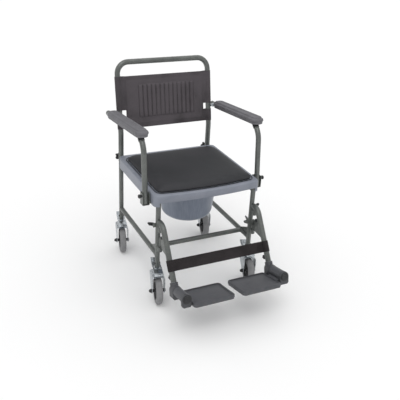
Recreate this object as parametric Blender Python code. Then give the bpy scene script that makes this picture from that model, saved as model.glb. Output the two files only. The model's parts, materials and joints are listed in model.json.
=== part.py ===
"""Mobile commode chair, in metres, +Z up. The chair faces -Y; left is -X and right is +X, seen from its front.

Lengths along Y are counted from the middle between the front and rear legs until the whole chair hangs on the
"chair" empty, which centres it over the origin."""

import math

import bmesh
import bpy
from mathutils import Matrix, Vector

# Overall sizes
TRACK = 0.462  # between the leg centres, left to right
WHEELBASE = 0.480  # between the leg centres, front to rear
LEG_BOTTOM = 0.163
SEAT_TOP = 0.515  # top of the moulded seat, under the cushion
HANDLE_HEIGHT = 0.943  # centre of the push bar

# Clearances
GAP = 0.0003  # between pieces that touch
RUN = 0.0005  # round a piece that slides or turns in another
SIDE_GAP = 0.0010  # beside a turning knuckle or in a bracket

# Tubes
SIDES = 16
LEG_R, LEG_WALL = 0.011, 0.0015
BACK_R, BACK_WALL = 0.0125, 0.0012
ARM_R, ARM_WALL = 0.012, 0.0015
HANGER_R, HANGER_WALL = 0.0125, 0.0015
STEM_WALL = 0.0020

# Seat
SEAT_HALF_WIDTH = 0.254
SEAT_OVERHANG = 0.029  # of the seat's front edge over the front legs
SEAT_REAR_GAP = 0.018  # from the seat's rear edge to the rear leg centres
SEAT_BOW = 0.013  # of the front edge
SEAT_CORNER = 0.026
SEAT_WALL = 0.0035
SKIRT_DEPTH = 0.051
FRONT_SKIRT_DEPTH = 0.034
REAR_SKIRT_DEPTH = 0.024
CUSHION_MARGIN = 0.026  # inside the seat's edge
CUSHION_REAR_GAP = 0.014  # more, at the rear
CUSHION_THICK = 0.025

# Bucket
BUCKET_Y = -0.030
BUCKET_RIM_R, BUCKET_BASE_R = 0.138, 0.120
FLANGE_R = 0.150
FLANGE_DROP = 0.037  # top of the flange, below the top of the seat
FLANGE_THICK = 0.003
BUCKET_DEPTH = 0.182
BUCKET_ROUND = 0.032
BUCKET_WALL = 0.0025
OPENING_X, OPENING_Y = 0.105, 0.124  # half sizes of the oval hole
COLLAR_DEPTH = 0.028
GUIDE_LIP, GUIDE_THICK = 0.011, 0.0025

# Frame
LOWER_RAIL_Z = 0.222
LOWER_BAR_Y = 0.075  # of the lower crossbar, behind the front legs
SEAT_BAR_Y = 0.036  # of the seat crossbars, inside the legs
SEAT_BAR_DEPTH = 0.018
BRIDGE_HALF, BRIDGE_FOOT = 0.160, 0.030  # of the seat crossbars: their raised middle, and their feet on the rails
STUB_LENGTH = 0.085  # of the rear legs above the seat
GUSSET_LENGTH, GUSSET_HEIGHT, GUSSET_THICK = 0.072, 0.034, 0.004

# Back
SLEEVE_BOTTOM = 0.479  # of the back tube, where it stands on the seat rails
LEAN_Z, LEAN = 0.622, 0.180  # where the uprights start to lean, and how much they lean per metre
HANDLE_BEND, LEAN_BEND = 0.055, 0.120
COVER_BOTTOM, COVER_TOP = 0.640, 0.880
COVER_WALL, COVER_THICK, COVER_FORWARD = 0.0015, 0.0040, 0.0085
COVER_SLOT_Z, COVER_SLOT_X = 0.034, 0.034  # height and depth of the cut-out round each arm pivot
KNOB_Z, KNOB_R, KNOB_THICK, KNOB_SCREW_R = 0.491, 0.019, 0.016, 0.004

# Arms
ARM_OUT = 0.043  # from the leg's plane to the arm's plane
PIVOT_Z, PIVOT_R, PIVOT_CAP = 0.711, 0.007, 0.004
ARM_RISE = 0.1034  # per metre, towards the front
ARM_TAIL = 0.035  # behind the pivot
ARM_FRONT, POST_FOOT = 0.074, 0.044  # of the arm's top corner and its post's foot, behind the front legs
ARM_BEND = 0.055
PAD_FRONT, PAD_REAR = 0.072, 0.011  # pad ends: behind the front legs, and ahead of the pivot's bar
PAD_WIDTH, PAD_CORNER = 0.053, 0.024
PAD_BELOW, PAD_ABOVE = 0.008, 0.023
BRACKET_BOTTOM, BRACKET_TOP, BRACKET_WALL = 0.457, 0.511, 0.0025
LATCH_Z, LATCH_PIN_R, LATCH_KNOB_R = 0.499, 0.003, 0.009

# Footrests
HINGE_OUT = 0.0275  # from the leg's centre forward to the vertical pins
PIN_R, SOCKET_R, SOCKET_HEIGHT = 0.006, 0.0105, 0.022
LOW_SOCKET, HIGH_SOCKET = 0.256, 0.352  # bottoms of the sockets
BRACKET_PLATE, BRACKET_HEIGHT = 0.004, 0.050
BRACKET_BALL_R = 0.008  # of the stop on the plate's top edge
LEVER_Z, LEVER_OUT, LEVER_PIN_R = 0.376, 0.019, 0.0025  # LEVER_OUT is from the leg's centre to the lever's pin
HANGER_TOP, HANGER_FORWARD = 0.393, 0.053  # of the bend's corner: height, and distance ahead of the leg
HANGER_SLOPE = 33.2  # degrees from the vertical
HANGER_BEND = 0.045
HUB_Z = 0.168  # where the stem meets the footplate's axis
HUB_TILT = 12.5  # degrees, toes up
SLEEVE_LENGTH, SLEEVE_WALL = 0.030, 0.0062
HUB_REAR, KNUCKLE_FROM, KNUCKLE_TO, HUB_FRONT = -0.014, 0.026, 0.104, 0.120
HUB_R, HUB_DOWN = 0.0215, 0.036
HUB_CAP_R, HUB_CAP = 0.017, 0.008
AXLE_R = 0.005
STEM_INSERT = 0.130
PLATE_INNER = 0.021  # from the chair's middle to each plate
PLATE_FROM, PLATE_TO = -0.012, 0.138  # along the hub's axis
PLATE_TOP, PLATE_THICK, PLATE_EDGE = -0.020, 0.017, 0.026
CLAMP_UP = 0.052  # of the clamp knob, along the stem from the hub
STRAP_Z, STRAP_WIDTH, STRAP_THICK = 0.251, 0.050, 0.0025

# Casters
WHEEL_R, WHEEL_WIDTH = 0.0625, 0.030
TRAIL = 0.040
SWIVEL = -13.0  # degrees that all the casters stand turned
WHEEL_AXLE_R = 0.004
FORK_INNER, FORK_WALL = 0.0262, 0.0025
AXLE_CAP, AXLE_CAP_R, SPACER_R = 0.012, 0.0095, 0.0075
CROWN_BOTTOM, CROWN_TOP, CROWN_R, NECK_R = 0.1285, 0.150, 0.024, 0.012
CASTER_STEM = 0.034
PEDAL_Z, PEDAL_THICK, PEDAL_WIDTH = 0.156, 0.0025, 0.040

LEG_X = TRACK / 2
FRONT_Y, REAR_Y = -WHEELBASE / 2, WHEELBASE / 2
PLATE_UNDER = SEAT_TOP - SEAT_WALL
RAIL_Z = SLEEVE_BOTTOM - GAP - LEG_R
SEAT_FRONT = FRONT_Y - SEAT_OVERHANG
SEAT_REAR = REAR_Y - SEAT_REAR_GAP
ARM_X = LEG_X + ARM_OUT
PIVOT_Y = REAR_Y + (PIVOT_Z - LEAN_Z) * LEAN
POST_Y = FRONT_Y + POST_FOOT
HINGE_Y = FRONT_Y - HINGE_OUT
SIDE_NAMES = (("left", -1), ("right", 1))


def srgb(code):
    """A linear colour from a hex code."""
    parts = [int(code[i : i + 2], 16) / 255 for i in (0, 2, 4)]
    return [c / 12.92 if c <= 0.04045 else ((c + 0.055) / 1.055) ** 2.4 for c in parts] + [1.0]


FRAME_PAINT = ("frame paint", "5C605B", 0.38, 0.6)
SEAT_PLASTIC = ("seat plastic", "80848F", 0.45, 0.0)
BUCKET_PLASTIC = ("bucket plastic", "6F7788", 0.40, 0.0)
CUSHION_VINYL = ("cushion vinyl", "454648", 0.55, 0.0)
COVER_FABRIC = ("cover fabric", "544F54", 0.75, 0.0)
PAD_PLASTIC = ("arm pad", "6E6D72", 0.60, 0.0)
BLACK_PLASTIC = ("black plastic", "202123", 0.50, 0.0)
HUB_PLASTIC = ("hub plastic", "55565A", 0.50, 0.0)
PLATE_PLASTIC = ("footplate plastic", "5A5B5F", 0.50, 0.0)
STRAP_WEBBING = ("strap webbing", "2B2829", 0.85, 0.0)
ZINC = ("zinc plate", "B9BDBF", 0.30, 1.0)
TYRE_RUBBER = ("tyre rubber", "8A8A8C", 0.70, 0.0)
STEEL = ("bare steel", "9EA1A3", 0.35, 1.0)


def clear_scene():
    for obj in list(bpy.data.objects):
        bpy.data.objects.remove(obj)


def material(spec):
    name, code, roughness, metallic = spec
    found = bpy.data.materials.get(name)
    if found:
        return found
    made = bpy.data.materials.new(name)
    made.use_nodes = True
    shader = made.node_tree.nodes["Principled BSDF"]
    shader.inputs["Base Color"].default_value = srgb(code)
    shader.inputs["Roughness"].default_value = roughness
    shader.inputs["Metallic"].default_value = metallic
    made.diffuse_color = srgb(code)
    return made


def mesh_object(name, shape, origin):
    """An object from a bmesh in chair coordinates, with its origin where asked."""
    bmesh.ops.recalc_face_normals(shape, faces=shape.faces)
    bmesh.ops.translate(shape, verts=shape.verts, vec=-Vector(origin))
    mesh = bpy.data.meshes.new(name)
    shape.to_mesh(mesh)
    shape.free()
    mesh.shade_smooth()
    mesh.set_sharp_from_angle(angle=math.radians(35))
    obj = bpy.data.objects.new(name, mesh)
    bpy.context.scene.collection.objects.link(obj)
    return obj


def node(name, spec, shape, parent, origin=(0, 0, 0)):
    """A sub-part. Its origin lies on its joint's axis when it moves."""
    obj = mesh_object(name, shape, origin)
    obj.data.materials.append(material(spec))
    obj.parent = parent
    obj.location = Vector(origin) - place_of(parent)
    return obj


def place_of(obj):
    """Where an object's origin is in chair coordinates."""
    place = Vector()
    while obj is not None and obj.type != "EMPTY":
        place += obj.location
        obj = obj.parent
    return place


def combine(obj, operation, *shapes):
    """Joins each shape to the object, or cuts it away. The shapes are in chair coordinates."""
    for shape in shapes:
        helper = mesh_object(obj.name + " " + operation.lower(), shape, place_of(obj))
        helper.parent = obj
        helper.hide_render = True
        helper.display_type = "WIRE"
        modifier = obj.modifiers.new(operation.title(), "BOOLEAN")
        modifier.operation = operation
        modifier.object = helper
        helper.hide_set(True)


def join(obj, *shapes):
    combine(obj, "UNION", *shapes)


def cut(obj, *shapes):
    combine(obj, "DIFFERENCE", *shapes)


def loft(rings, loop=False):
    """Closes a stack of rings with equal counts into a solid; with loop, the last ring meets the first."""
    shape = bmesh.new()
    rows = [[shape.verts.new(p) for p in ring] for ring in rings]
    count = len(rows[0])
    pairs = list(zip(rows, rows[1:] + rows[:1])) if loop else list(zip(rows, rows[1:]))
    for low, high in pairs:
        for i in range(count):
            j = (i + 1) % count
            shape.faces.new((low[i], low[j], high[j], high[i]))
    if not loop:
        shape.faces.new(rows[0])
        shape.faces.new(rows[-1])
    return shape


def prism(outline, place, depth_from, depth_to):
    """Extrudes a flat outline: place(u, v, depth) gives a point."""
    return loft([[place(u, v, d) for u, v in outline] for d in (depth_from, depth_to)])


def box(low, high):
    corners = [(low[0], low[1]), (high[0], low[1]), (high[0], high[1]), (low[0], high[1])]
    return prism(corners, lambda u, v, d: Vector((u, v, d)), low[2], high[2])


def bent_path(corners, bends, step=18):
    """Straight runs between the corners, with an arc of the given radius at each inner corner."""
    corners = [Vector(c) for c in corners]
    path = [corners[0]]
    for before, corner, after, bend in zip(corners, corners[1:], corners[2:], bends):
        into, out = (corner - before).normalized(), (after - corner).normalized()
        turn = into.angle(out)
        start = corner - into * bend * math.tan(turn / 2)
        centre = start + (out - into * into.dot(out)).normalized() * bend
        axis = into.cross(out).normalized()
        count = max(2, round(math.degrees(turn) / step))
        for i in range(count + 1):
            path.append(centre + Matrix.Rotation(turn * i / count, 3, axis) @ (start - centre))
    return path + [corners[-1]]


def frames_along(path, side):
    """A point, side and up vector at each point of the path, turned as little as possible."""
    found = []
    for i, point in enumerate(path):
        into = (point - path[max(i - 1, 0)]).normalized() if i else (path[1] - point).normalized()
        out = (path[min(i + 1, len(path) - 1)] - point).normalized() if i + 1 < len(path) else into
        ahead = (into + out).normalized()
        side = (side - ahead * side.dot(ahead)).normalized()
        found.append((point, side, ahead.cross(side)))
    return found


def tube(path, outer, wall=None, sides=SIDES, side=Vector((1, 0, 0))):
    """A round tube along the path, hollow and open at both ends where it has a wall."""
    path = [Vector(p) for p in path]

    def ring(frame, radius):
        point, across, up = frame
        turns = [2 * math.pi * k / sides for k in range(sides)]
        return [point + radius * (math.cos(a) * across + math.sin(a) * up) for a in turns]

    frames = frames_along(path, side)
    outside = [ring(f, outer) for f in frames]
    if wall is None:
        return loft(outside)
    inside = [ring(f, outer - wall) for f in reversed(frames)]
    return loft(outside + inside, loop=True)


def rod(start, end, radius, sides=SIDES):
    start, end = Vector(start), Vector(end)
    side = Vector((1, 0, 0)) if abs((end - start).normalized().x) < 0.9 else Vector((0, 1, 0))
    return tube([start, end], radius, sides=sides, side=side)


def ring_tube(start, end, outer, wall, sides=SIDES):
    side = Vector((1, 0, 0))
    return tube([start, end], outer, wall, sides=sides, side=side)


def turned(profile, place, segments):
    """Revolves a closed (radius, height) profile: place(x, y, height) gives a point. No radius is 0."""
    rings = []
    for k in range(segments):
        turn = 2 * math.pi * k / segments
        rings.append([place(r * math.cos(turn), r * math.sin(turn), h) for r, h in profile])
    return loft(rings, loop=True)


def upright(x, y):
    return lambda u, v, h: Vector((x + u, y + v, h))


def arc(centre, radius, start, end, count):
    turns = [math.radians(start + (end - start) * i / count) for i in range(count + 1)]
    return [(centre[0] + radius * math.cos(t), centre[1] + radius * math.sin(t)) for t in turns]


def seat_outline(inset, rear_gap=0.0):
    """Plan of the seat: a rounded square whose front edge bows forward."""
    half, radius = SEAT_HALF_WIDTH - inset, max(SEAT_CORNER - inset, 0.006)
    front, rear = SEAT_FRONT + inset + SEAT_BOW, SEAT_REAR - inset - rear_gap
    flat = half - radius
    points = arc((flat, rear - radius), radius, 0, 90, 4) + arc((-flat, rear - radius), radius, 90, 180, 4)
    points += arc((-flat, front + radius), radius, 180, 250, 4)
    reach = half - radius * (1 - math.cos(math.radians(250)))
    for i in range(1, 8):
        x = -flat + 2 * flat * i / 8
        points.append((x, front - SEAT_BOW * (1 - (x / reach) ** 2)))
    return points + arc((flat, front + radius), radius, 290, 360, 4)


def seat_stack(levels, rear_gap=0.0):
    """Lofts the seat's plan through (height, inset) levels."""
    return loft([[Vector((x, y, z)) for x, y in seat_outline(inset, rear_gap)] for z, inset in levels])


def flange_top():
    return SEAT_TOP - FLANGE_DROP


def make_frame(chair):
    top = PLATE_UNDER - GAP
    for side, s in SIDE_NAMES:
        x = s * LEG_X
        leg = node(f"front_leg_{side}", FRAME_PAINT, tube([(x, FRONT_Y, LEG_BOTTOM), (x, FRONT_Y, top)], LEG_R, LEG_WALL), chair)
        for z in (LOW_SOCKET, HIGH_SOCKET):
            socket = ring_tube((x, HINGE_Y, z), (x, HINGE_Y, z + SOCKET_HEIGHT), SOCKET_R, SOCKET_R - PIN_R - GAP)
            web = box((x - 0.004, HINGE_Y + PIN_R + 0.0015, z + 0.001), (x + 0.004, FRONT_Y - LEG_R + 0.001, z + SOCKET_HEIGHT - 0.001))
            join(leg, socket, web)
        stub = SEAT_TOP + STUB_LENGTH
        node(f"rear_leg_{side}", FRAME_PAINT, tube([(x, REAR_Y, LEG_BOTTOM), (x, REAR_Y, stub)], LEG_R, LEG_WALL), chair)
        ends = [rod((x, y, 0), (x, y, 1), LEG_R + GAP) for y in (FRONT_Y, REAR_Y)]
        rail = node(f"seat_rail_{side}", FRAME_PAINT, tube([(x, FRONT_Y, RAIL_Z), (x, REAR_Y, RAIL_Z)], LEG_R, LEG_WALL), chair)
        cut(rail, *ends)
        lower = tube([(x, FRONT_Y, LOWER_RAIL_Z), (x, REAR_Y, LOWER_RAIL_Z)], LEG_R, LEG_WALL)
        rail = node(f"lower_rail_{side}", FRAME_PAINT, lower, chair)
        base = LOWER_RAIL_Z + LEG_R - LEG_WALL / 2
        gusset = [(FRONT_Y, base), (FRONT_Y + LEG_R + GUSSET_LENGTH, base), (FRONT_Y + LEG_R, base + GUSSET_HEIGHT), (FRONT_Y, base + GUSSET_HEIGHT)]
        half = GUSSET_THICK / 2
        join(rail, prism(gusset, lambda u, v, d: Vector((x + d, u, v)), -half, half))
        cut(rail, *[rod((x, y, 0), (x, y, 1), LEG_R + GAP) for y in (FRONT_Y, REAR_Y)])
    # The seat crossbars stand on the rails, and are raised between them so that the bucket's flange passes below.
    foot, arch = RAIL_Z + LEG_R + GAP, flange_top() + 0.008
    outer = LEG_X + LEG_R * 0.6
    half = [(outer, top), (outer, foot), (LEG_X - BRIDGE_FOOT, foot), (BRIDGE_HALF, arch)]
    outline = half + [(-x, z) for x, z in reversed(half)]
    for name, y in (("seat_crossbar_front", FRONT_Y + SEAT_BAR_Y), ("seat_crossbar_rear", REAR_Y - SEAT_BAR_Y)):
        deep = SEAT_BAR_DEPTH / 2
        node(name, FRAME_PAINT, prism(outline, lambda u, v, d: Vector((u, d, v)), y - deep, y + deep), chair)
    y, z = FRONT_Y + LOWER_BAR_Y, LOWER_RAIL_Z
    bar = tube([(-LEG_X, y, z), (LEG_X, y, z)], LEG_R, LEG_WALL, side=Vector((0, 1, 0)))
    bar = node("lower_crossbar", FRAME_PAINT, bar, chair)
    cut(bar, *[rod((s * LEG_X, FRONT_Y, z), (s * LEG_X, REAR_Y, z), LEG_R + GAP) for _, s in SIDE_NAMES])


def bracket_reach():
    """Half the inner width of the arm brackets."""
    return ARM_R + SIDE_GAP


def arm_line(y):
    """Height of the arm tube's centre, under the pad."""
    return PIVOT_Z + (PIVOT_Y - y) * ARM_RISE


def post_lean():
    """How far the arm's post leans back per metre."""
    return (ARM_FRONT - POST_FOOT) / (arm_line(FRONT_Y + ARM_FRONT) - BRACKET_BOTTOM)


def make_arm_brackets(chair):
    inner = bracket_reach()
    outer = inner + BRACKET_WALL
    back = POST_Y + ARM_R + 2 * SIDE_GAP + post_lean() * (BRACKET_TOP - BRACKET_BOTTOM)
    for side, s in SIDE_NAMES:
        x = s * ARM_X
        block = box((x - outer, POST_Y - ARM_R, BRACKET_BOTTOM), (x + outer, back + BRACKET_WALL, BRACKET_TOP))
        bracket = node(f"armrest_bracket_{side}", FRAME_PAINT, block, chair)
        room = ((x - inner, POST_Y - 0.05, BRACKET_BOTTOM + BRACKET_WALL), (x + inner, back, BRACKET_TOP + 0.05))
        cut(bracket, box(*room))
        xs = sorted((s * (ARM_X - inner - 0.001), s * (LEG_X + LEG_R * 0.9)))
        strap = box((xs[0], POST_Y - ARM_R + 0.002, RAIL_Z - 0.0055), (xs[1], back, RAIL_Z + 0.0055))
        join(bracket, strap)
        cut(bracket, rod((s * LEG_X, FRONT_Y, RAIL_Z), (s * LEG_X, REAR_Y, RAIL_Z), LEG_R + GAP))
        cut(bracket, rod((x, POST_Y, LATCH_Z), (x + s * 0.05, POST_Y, LATCH_Z), LATCH_PIN_R + RUN, sides=12))


def make_seat(chair):
    bottom = SEAT_TOP - SKIRT_DEPTH
    levels = ((bottom, 0.0), (SEAT_TOP - 0.007, 0.0), (SEAT_TOP - 0.002, 0.002), (SEAT_TOP, 0.006))
    seat = node("commode_seat", SEAT_PLASTIC, seat_stack(levels), chair)
    cut(seat, seat_stack(((bottom - 0.02, SEAT_WALL), (PLATE_UNDER, SEAT_WALL))))
    # The front skirt is shallower than the sides. The rear skirt stops above the bucket's flange, and the corners are
    # open round the rails.
    front = SEAT_FRONT + SEAT_BOW + SEAT_CORNER
    cut(seat, box((-LEG_X, SEAT_FRONT - 0.01, bottom - 0.01), (LEG_X, front, SEAT_TOP - FRONT_SKIRT_DEPTH)))
    cut(seat, box((-LEG_X, SEAT_REAR - 0.03, bottom - 0.01), (LEG_X, SEAT_REAR + 0.01, SEAT_TOP - REAR_SKIRT_DEPTH)))
    for _, s in SIDE_NAMES:
        xs = sorted((s * (LEG_X - LEG_R - 0.004), s * (SEAT_HALF_WIDTH + 0.01)))
        cut(seat, box((xs[0], SEAT_REAR - SEAT_CORNER, bottom - 0.01), (xs[1], SEAT_REAR + 0.01, PLATE_UNDER + 0.00005)))
        xs = sorted((s * (SEAT_HALF_WIDTH - 0.012), s * (SEAT_HALF_WIDTH + 0.01)))
        cut(seat, box((xs[0], POST_Y - 0.018, bottom - 0.01), (xs[1], POST_Y + 0.022, RAIL_Z + 0.0065)))
    oval = [(math.cos(math.radians(t)), math.sin(math.radians(t))) for t in range(0, 360, 15)]

    def ring(extra, z):
        return [Vector(((OPENING_X + extra) * u, BUCKET_Y + (OPENING_Y + extra) * v, z)) for u, v in oval]

    join(seat, loft([ring(GUIDE_THICK, SEAT_TOP - COLLAR_DEPTH), ring(GUIDE_THICK, SEAT_TOP - SEAT_WALL / 2)]))
    cut(seat, loft([ring(0, SEAT_TOP - COLLAR_DEPTH - 0.01), ring(0, SEAT_TOP + 0.01)]))
    lip_top = flange_top() - FLANGE_THICK - GAP
    reach = SEAT_BAR_Y + SEAT_BAR_DEPTH / 2 + 0.004
    for _, s in SIDE_NAMES:
        wall = FLANGE_R + SIDE_GAP
        xs = sorted((s * wall, s * (wall + GUIDE_THICK)))
        join(seat, box((xs[0], FRONT_Y + reach, lip_top - GUIDE_THICK), (xs[1], REAR_Y - reach, SEAT_TOP - SEAT_WALL / 2)))
        xs = sorted((s * (wall - GUIDE_LIP), s * (wall + GUIDE_THICK / 2)))
        join(seat, box((xs[0], FRONT_Y + reach, lip_top - GUIDE_THICK), (xs[1], REAR_Y - reach, lip_top)))


def make_seat_goods(chair):
    low, margin = SEAT_TOP + GAP, CUSHION_MARGIN
    levels = ((0, 0.006), (0.25, 0), (0.62, 0), (0.88, 0.006), (1, 0.018))
    stack = seat_stack([(low + CUSHION_THICK * t, margin + inset) for t, inset in levels], CUSHION_REAR_GAP)
    node("seat_cushion", CUSHION_VINYL, stack, chair, (0, 0, low))
    top = flange_top()
    rim = top - FLANGE_THICK - 0.004
    base = top - BUCKET_DEPTH
    inner_rim, inner_base = BUCKET_RIM_R - BUCKET_WALL, BUCKET_BASE_R - BUCKET_WALL
    hub = 0.004  # radius of the moulding mark in the middle of the base
    outer_arc = arc((BUCKET_BASE_R - BUCKET_ROUND, base + BUCKET_ROUND), BUCKET_ROUND, 0, -90, 3)
    inner_round = BUCKET_ROUND - BUCKET_WALL
    inner_arc = arc((inner_base - inner_round, base + BUCKET_ROUND), inner_round, -90, 0, 3)
    profile = [(inner_rim, top), (FLANGE_R, top), (FLANGE_R, top - FLANGE_THICK)]
    profile += [(BUCKET_RIM_R, top - FLANGE_THICK), (BUCKET_RIM_R, rim)] + outer_arc
    profile += [(hub, base), (hub, base + BUCKET_WALL)] + inner_arc
    bucket = node("bucket", BUCKET_PLASTIC, turned(profile, upright(0, BUCKET_Y), 24), chair, (0, BUCKET_Y, top))
    join(bucket, rod((0, BUCKET_Y, base + 0.0003), (0, BUCKET_Y, base + BUCKET_WALL - 0.0003), 2 * hub))


def lean_y(z):
    """Centre of the uprights at a height."""
    return REAR_Y + max(z - LEAN_Z, 0) * LEAN


def make_back(chair):
    top = lean_y(HANDLE_HEIGHT)
    corners = [(-LEG_X, REAR_Y, SLEEVE_BOTTOM), (-LEG_X, REAR_Y, LEAN_Z), (-LEG_X, top, HANDLE_HEIGHT)]
    corners += [(-x, y, z) for x, y, z in reversed(corners)]
    path = bent_path(corners, (LEAN_BEND, HANDLE_BEND, HANDLE_BEND, LEAN_BEND))
    back = node("back_tube", FRAME_PAINT, tube(path, BACK_R, BACK_WALL), chair, (0, REAR_Y, SLEEVE_BOTTOM))
    for _, s in SIDE_NAMES:
        x = s * LEG_X
        cut(back, rod((x, REAR_Y, KNOB_Z), (x, REAR_Y + 0.03, KNOB_Z), KNOB_SCREW_R + GAP, sides=12))
    low, high = Vector((0, lean_y(COVER_BOTTOM), COVER_BOTTOM)), Vector((0, lean_y(COVER_TOP), COVER_TOP))
    along = (high - low).normalized()
    ahead = along.cross(Vector((1, 0, 0))).normalized() * -1
    if ahead.y > 0:
        ahead = -ahead
    panel = [(0, -LEG_X), (0, LEG_X), (COVER_THICK, LEG_X), (COVER_THICK, -LEG_X)]

    def place(u, v, d):
        return low + along * d + ahead * (COVER_FORWARD - u) + Vector((v, 0, 0))

    cover = node("backrest_cover", COVER_FABRIC, prism(panel, place, 0, (high - low).length), back)
    bore = BACK_R + RUN
    for _, s in SIDE_NAMES:
        x = Vector((s * LEG_X, 0, 0))
        join(cover, rod(low + x - along * 0.0006, high + x + along * 0.0006, bore + COVER_WALL))
    for _, s in SIDE_NAMES:
        x = Vector((s * LEG_X, 0, 0))
        cut(cover, rod(low + x - along * 0.02, high + x + along * 0.02, bore))
        xs = sorted((s * (LEG_X + 0.03), s * (LEG_X - COVER_SLOT_X)))
        half = COVER_SLOT_Z / 2
        cut(cover, box((xs[0], PIVOT_Y - 0.05, PIVOT_Z - half), (xs[1], PIVOT_Y + 0.05, PIVOT_Z + half)))
    for side, s in SIDE_NAMES:
        x = s * LEG_X
        start = REAR_Y + BACK_R + 0.012
        lobes = [0.86 + 0.14 * math.cos(5 * math.radians(t)) for t in range(0, 360, 12)]
        outline = [(KNOB_R * r * math.cos(math.radians(12 * i)), KNOB_R * r * math.sin(math.radians(12 * i))) for i, r in enumerate(lobes)]
        shape = prism(outline, lambda u, v, d: Vector((x + u, d, KNOB_Z + v)), start, start + KNOB_THICK)
        knob = node(f"back_knob_{side}", BLACK_PLASTIC, shape, back, (x, start, KNOB_Z))
        join(knob, rod((x, REAR_Y + LEG_R + GAP, KNOB_Z), (x, start + 0.004, KNOB_Z), KNOB_SCREW_R, sides=12))
        join(knob, rod((x, REAR_Y + BACK_R + 0.003, KNOB_Z), (x, start + 0.004, KNOB_Z), KNOB_SCREW_R * 2.2))
    return back


def make_arms(chair, back):
    corner = FRONT_Y + ARM_FRONT
    foot = BRACKET_BOTTOM + BRACKET_WALL + RUN + ARM_R * post_lean()
    slope = math.atan(ARM_RISE)
    for side, s in SIDE_NAMES:
        x = s * ARM_X
        pivot = Vector((x, PIVOT_Y, PIVOT_Z))
        bar = rod((s * LEG_X, PIVOT_Y, PIVOT_Z), (x + s * (ARM_R + PIVOT_CAP), PIVOT_Y, PIVOT_Z), PIVOT_R)
        stub = node(f"armrest_pivot_{side}", STEEL, bar, back, (s * LEG_X, PIVOT_Y, PIVOT_Z))
        join(stub, rod((x + s * (ARM_R + GAP), PIVOT_Y, PIVOT_Z), (x + s * (ARM_R + PIVOT_CAP), PIVOT_Y, PIVOT_Z), PIVOT_R * 1.4))
        lean = Vector((0, LEAN, 1)).normalized()
        centre = Vector((s * LEG_X, PIVOT_Y, PIVOT_Z))
        cut(stub, rod(centre - lean * 0.03, centre + lean * 0.03, BACK_R + GAP))
        tail = PIVOT_Y + ARM_TAIL
        corners = [(x, tail, arm_line(tail)), (x, corner, arm_line(corner)), (x, POST_Y, foot)]
        arm = tube(bent_path(corners, (ARM_BEND,)), ARM_R, ARM_WALL)
        arm = node(f"armrest_tube_{side}", FRAME_PAINT, arm, back, pivot)
        cut(arm, rod(pivot - Vector((0.03, 0, 0)), pivot + Vector((0.03, 0, 0)), PIVOT_R + GAP))
        ends = (FRONT_Y + PAD_FRONT, PIVOT_Y - PIVOT_R - PAD_REAR)
        middle = Vector((x, sum(ends) / 2, arm_line(sum(ends) / 2)))
        half = (ends[1] - ends[0]) / 2 / math.cos(slope)
        turn = Matrix.Rotation(-slope, 3, "X")

        def plan(inset):
            w, l, r = PAD_WIDTH / 2 - inset, half - inset, PAD_CORNER - inset
            quarters = ((1, 1, 0), (-1, 1, 90), (-1, -1, 180), (1, -1, 270))
            return [p for a, b, t in quarters for p in arc((a * (w - r), b * (l - r)), r, t, t + 90, 4)]

        levels = ((-PAD_BELOW, 0.003), (-0.002, 0), (PAD_ABOVE - 0.009, 0), (PAD_ABOVE - 0.003, 0.004), (PAD_ABOVE, 0.009))
        pad = loft([[middle + turn @ Vector((u, v, z)) for u, v in plan(inset)] for z, inset in levels])
        pad = node(f"armrest_pad_{side}", PAD_PLASTIC, pad, arm)
        run = [(x, y, arm_line(y)) for y in (tail, corner - 0.05)]
        cut(pad, tube(run, ARM_R + GAP))
        bend = [p for p in bent_path([(x, tail, arm_line(tail)), (x, corner, arm_line(corner)), (x, POST_Y, foot)], (ARM_BEND,))]
        cut(pad, tube(bend, ARM_R + RUN))
        cheek = ARM_X + bracket_reach()
        pin = rod((s * (cheek + GAP), POST_Y, LATCH_Z), (s * (cheek + 0.014), POST_Y, LATCH_Z), LATCH_PIN_R, sides=12)
        latch = node(f"armrest_latch_{side}", BLACK_PLASTIC, pin, chair, (s * cheek, POST_Y, LATCH_Z))
        face = cheek + BRACKET_WALL + GAP
        join(latch, rod((s * face, POST_Y, LATCH_Z), (s * (face + 0.009), POST_Y, LATCH_Z), LATCH_KNOB_R * 0.66))
        join(latch, rod((s * (face + 0.006), POST_Y, LATCH_Z), (s * (face + 0.017), POST_Y, LATCH_Z), LATCH_KNOB_R))


SLOPE = math.radians(HANGER_SLOPE)
DOWN = Vector((0, -math.sin(SLOPE), -math.cos(SLOPE)))
BEHIND = Vector((0, math.cos(SLOPE), -math.sin(SLOPE)))
TILT = math.radians(HUB_TILT)
TOES = Vector((0, -math.cos(TILT), math.sin(TILT)))
HUB_UP = Vector((0, math.sin(TILT), math.cos(TILT)))


def hanger_point(x, z):
    """Centre of the sloping run of the hanger at a height."""
    corner = Vector((x, FRONT_Y - HANGER_FORWARD, HANGER_TOP))
    return corner + DOWN * ((HANGER_TOP - z) / math.cos(SLOPE))


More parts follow.
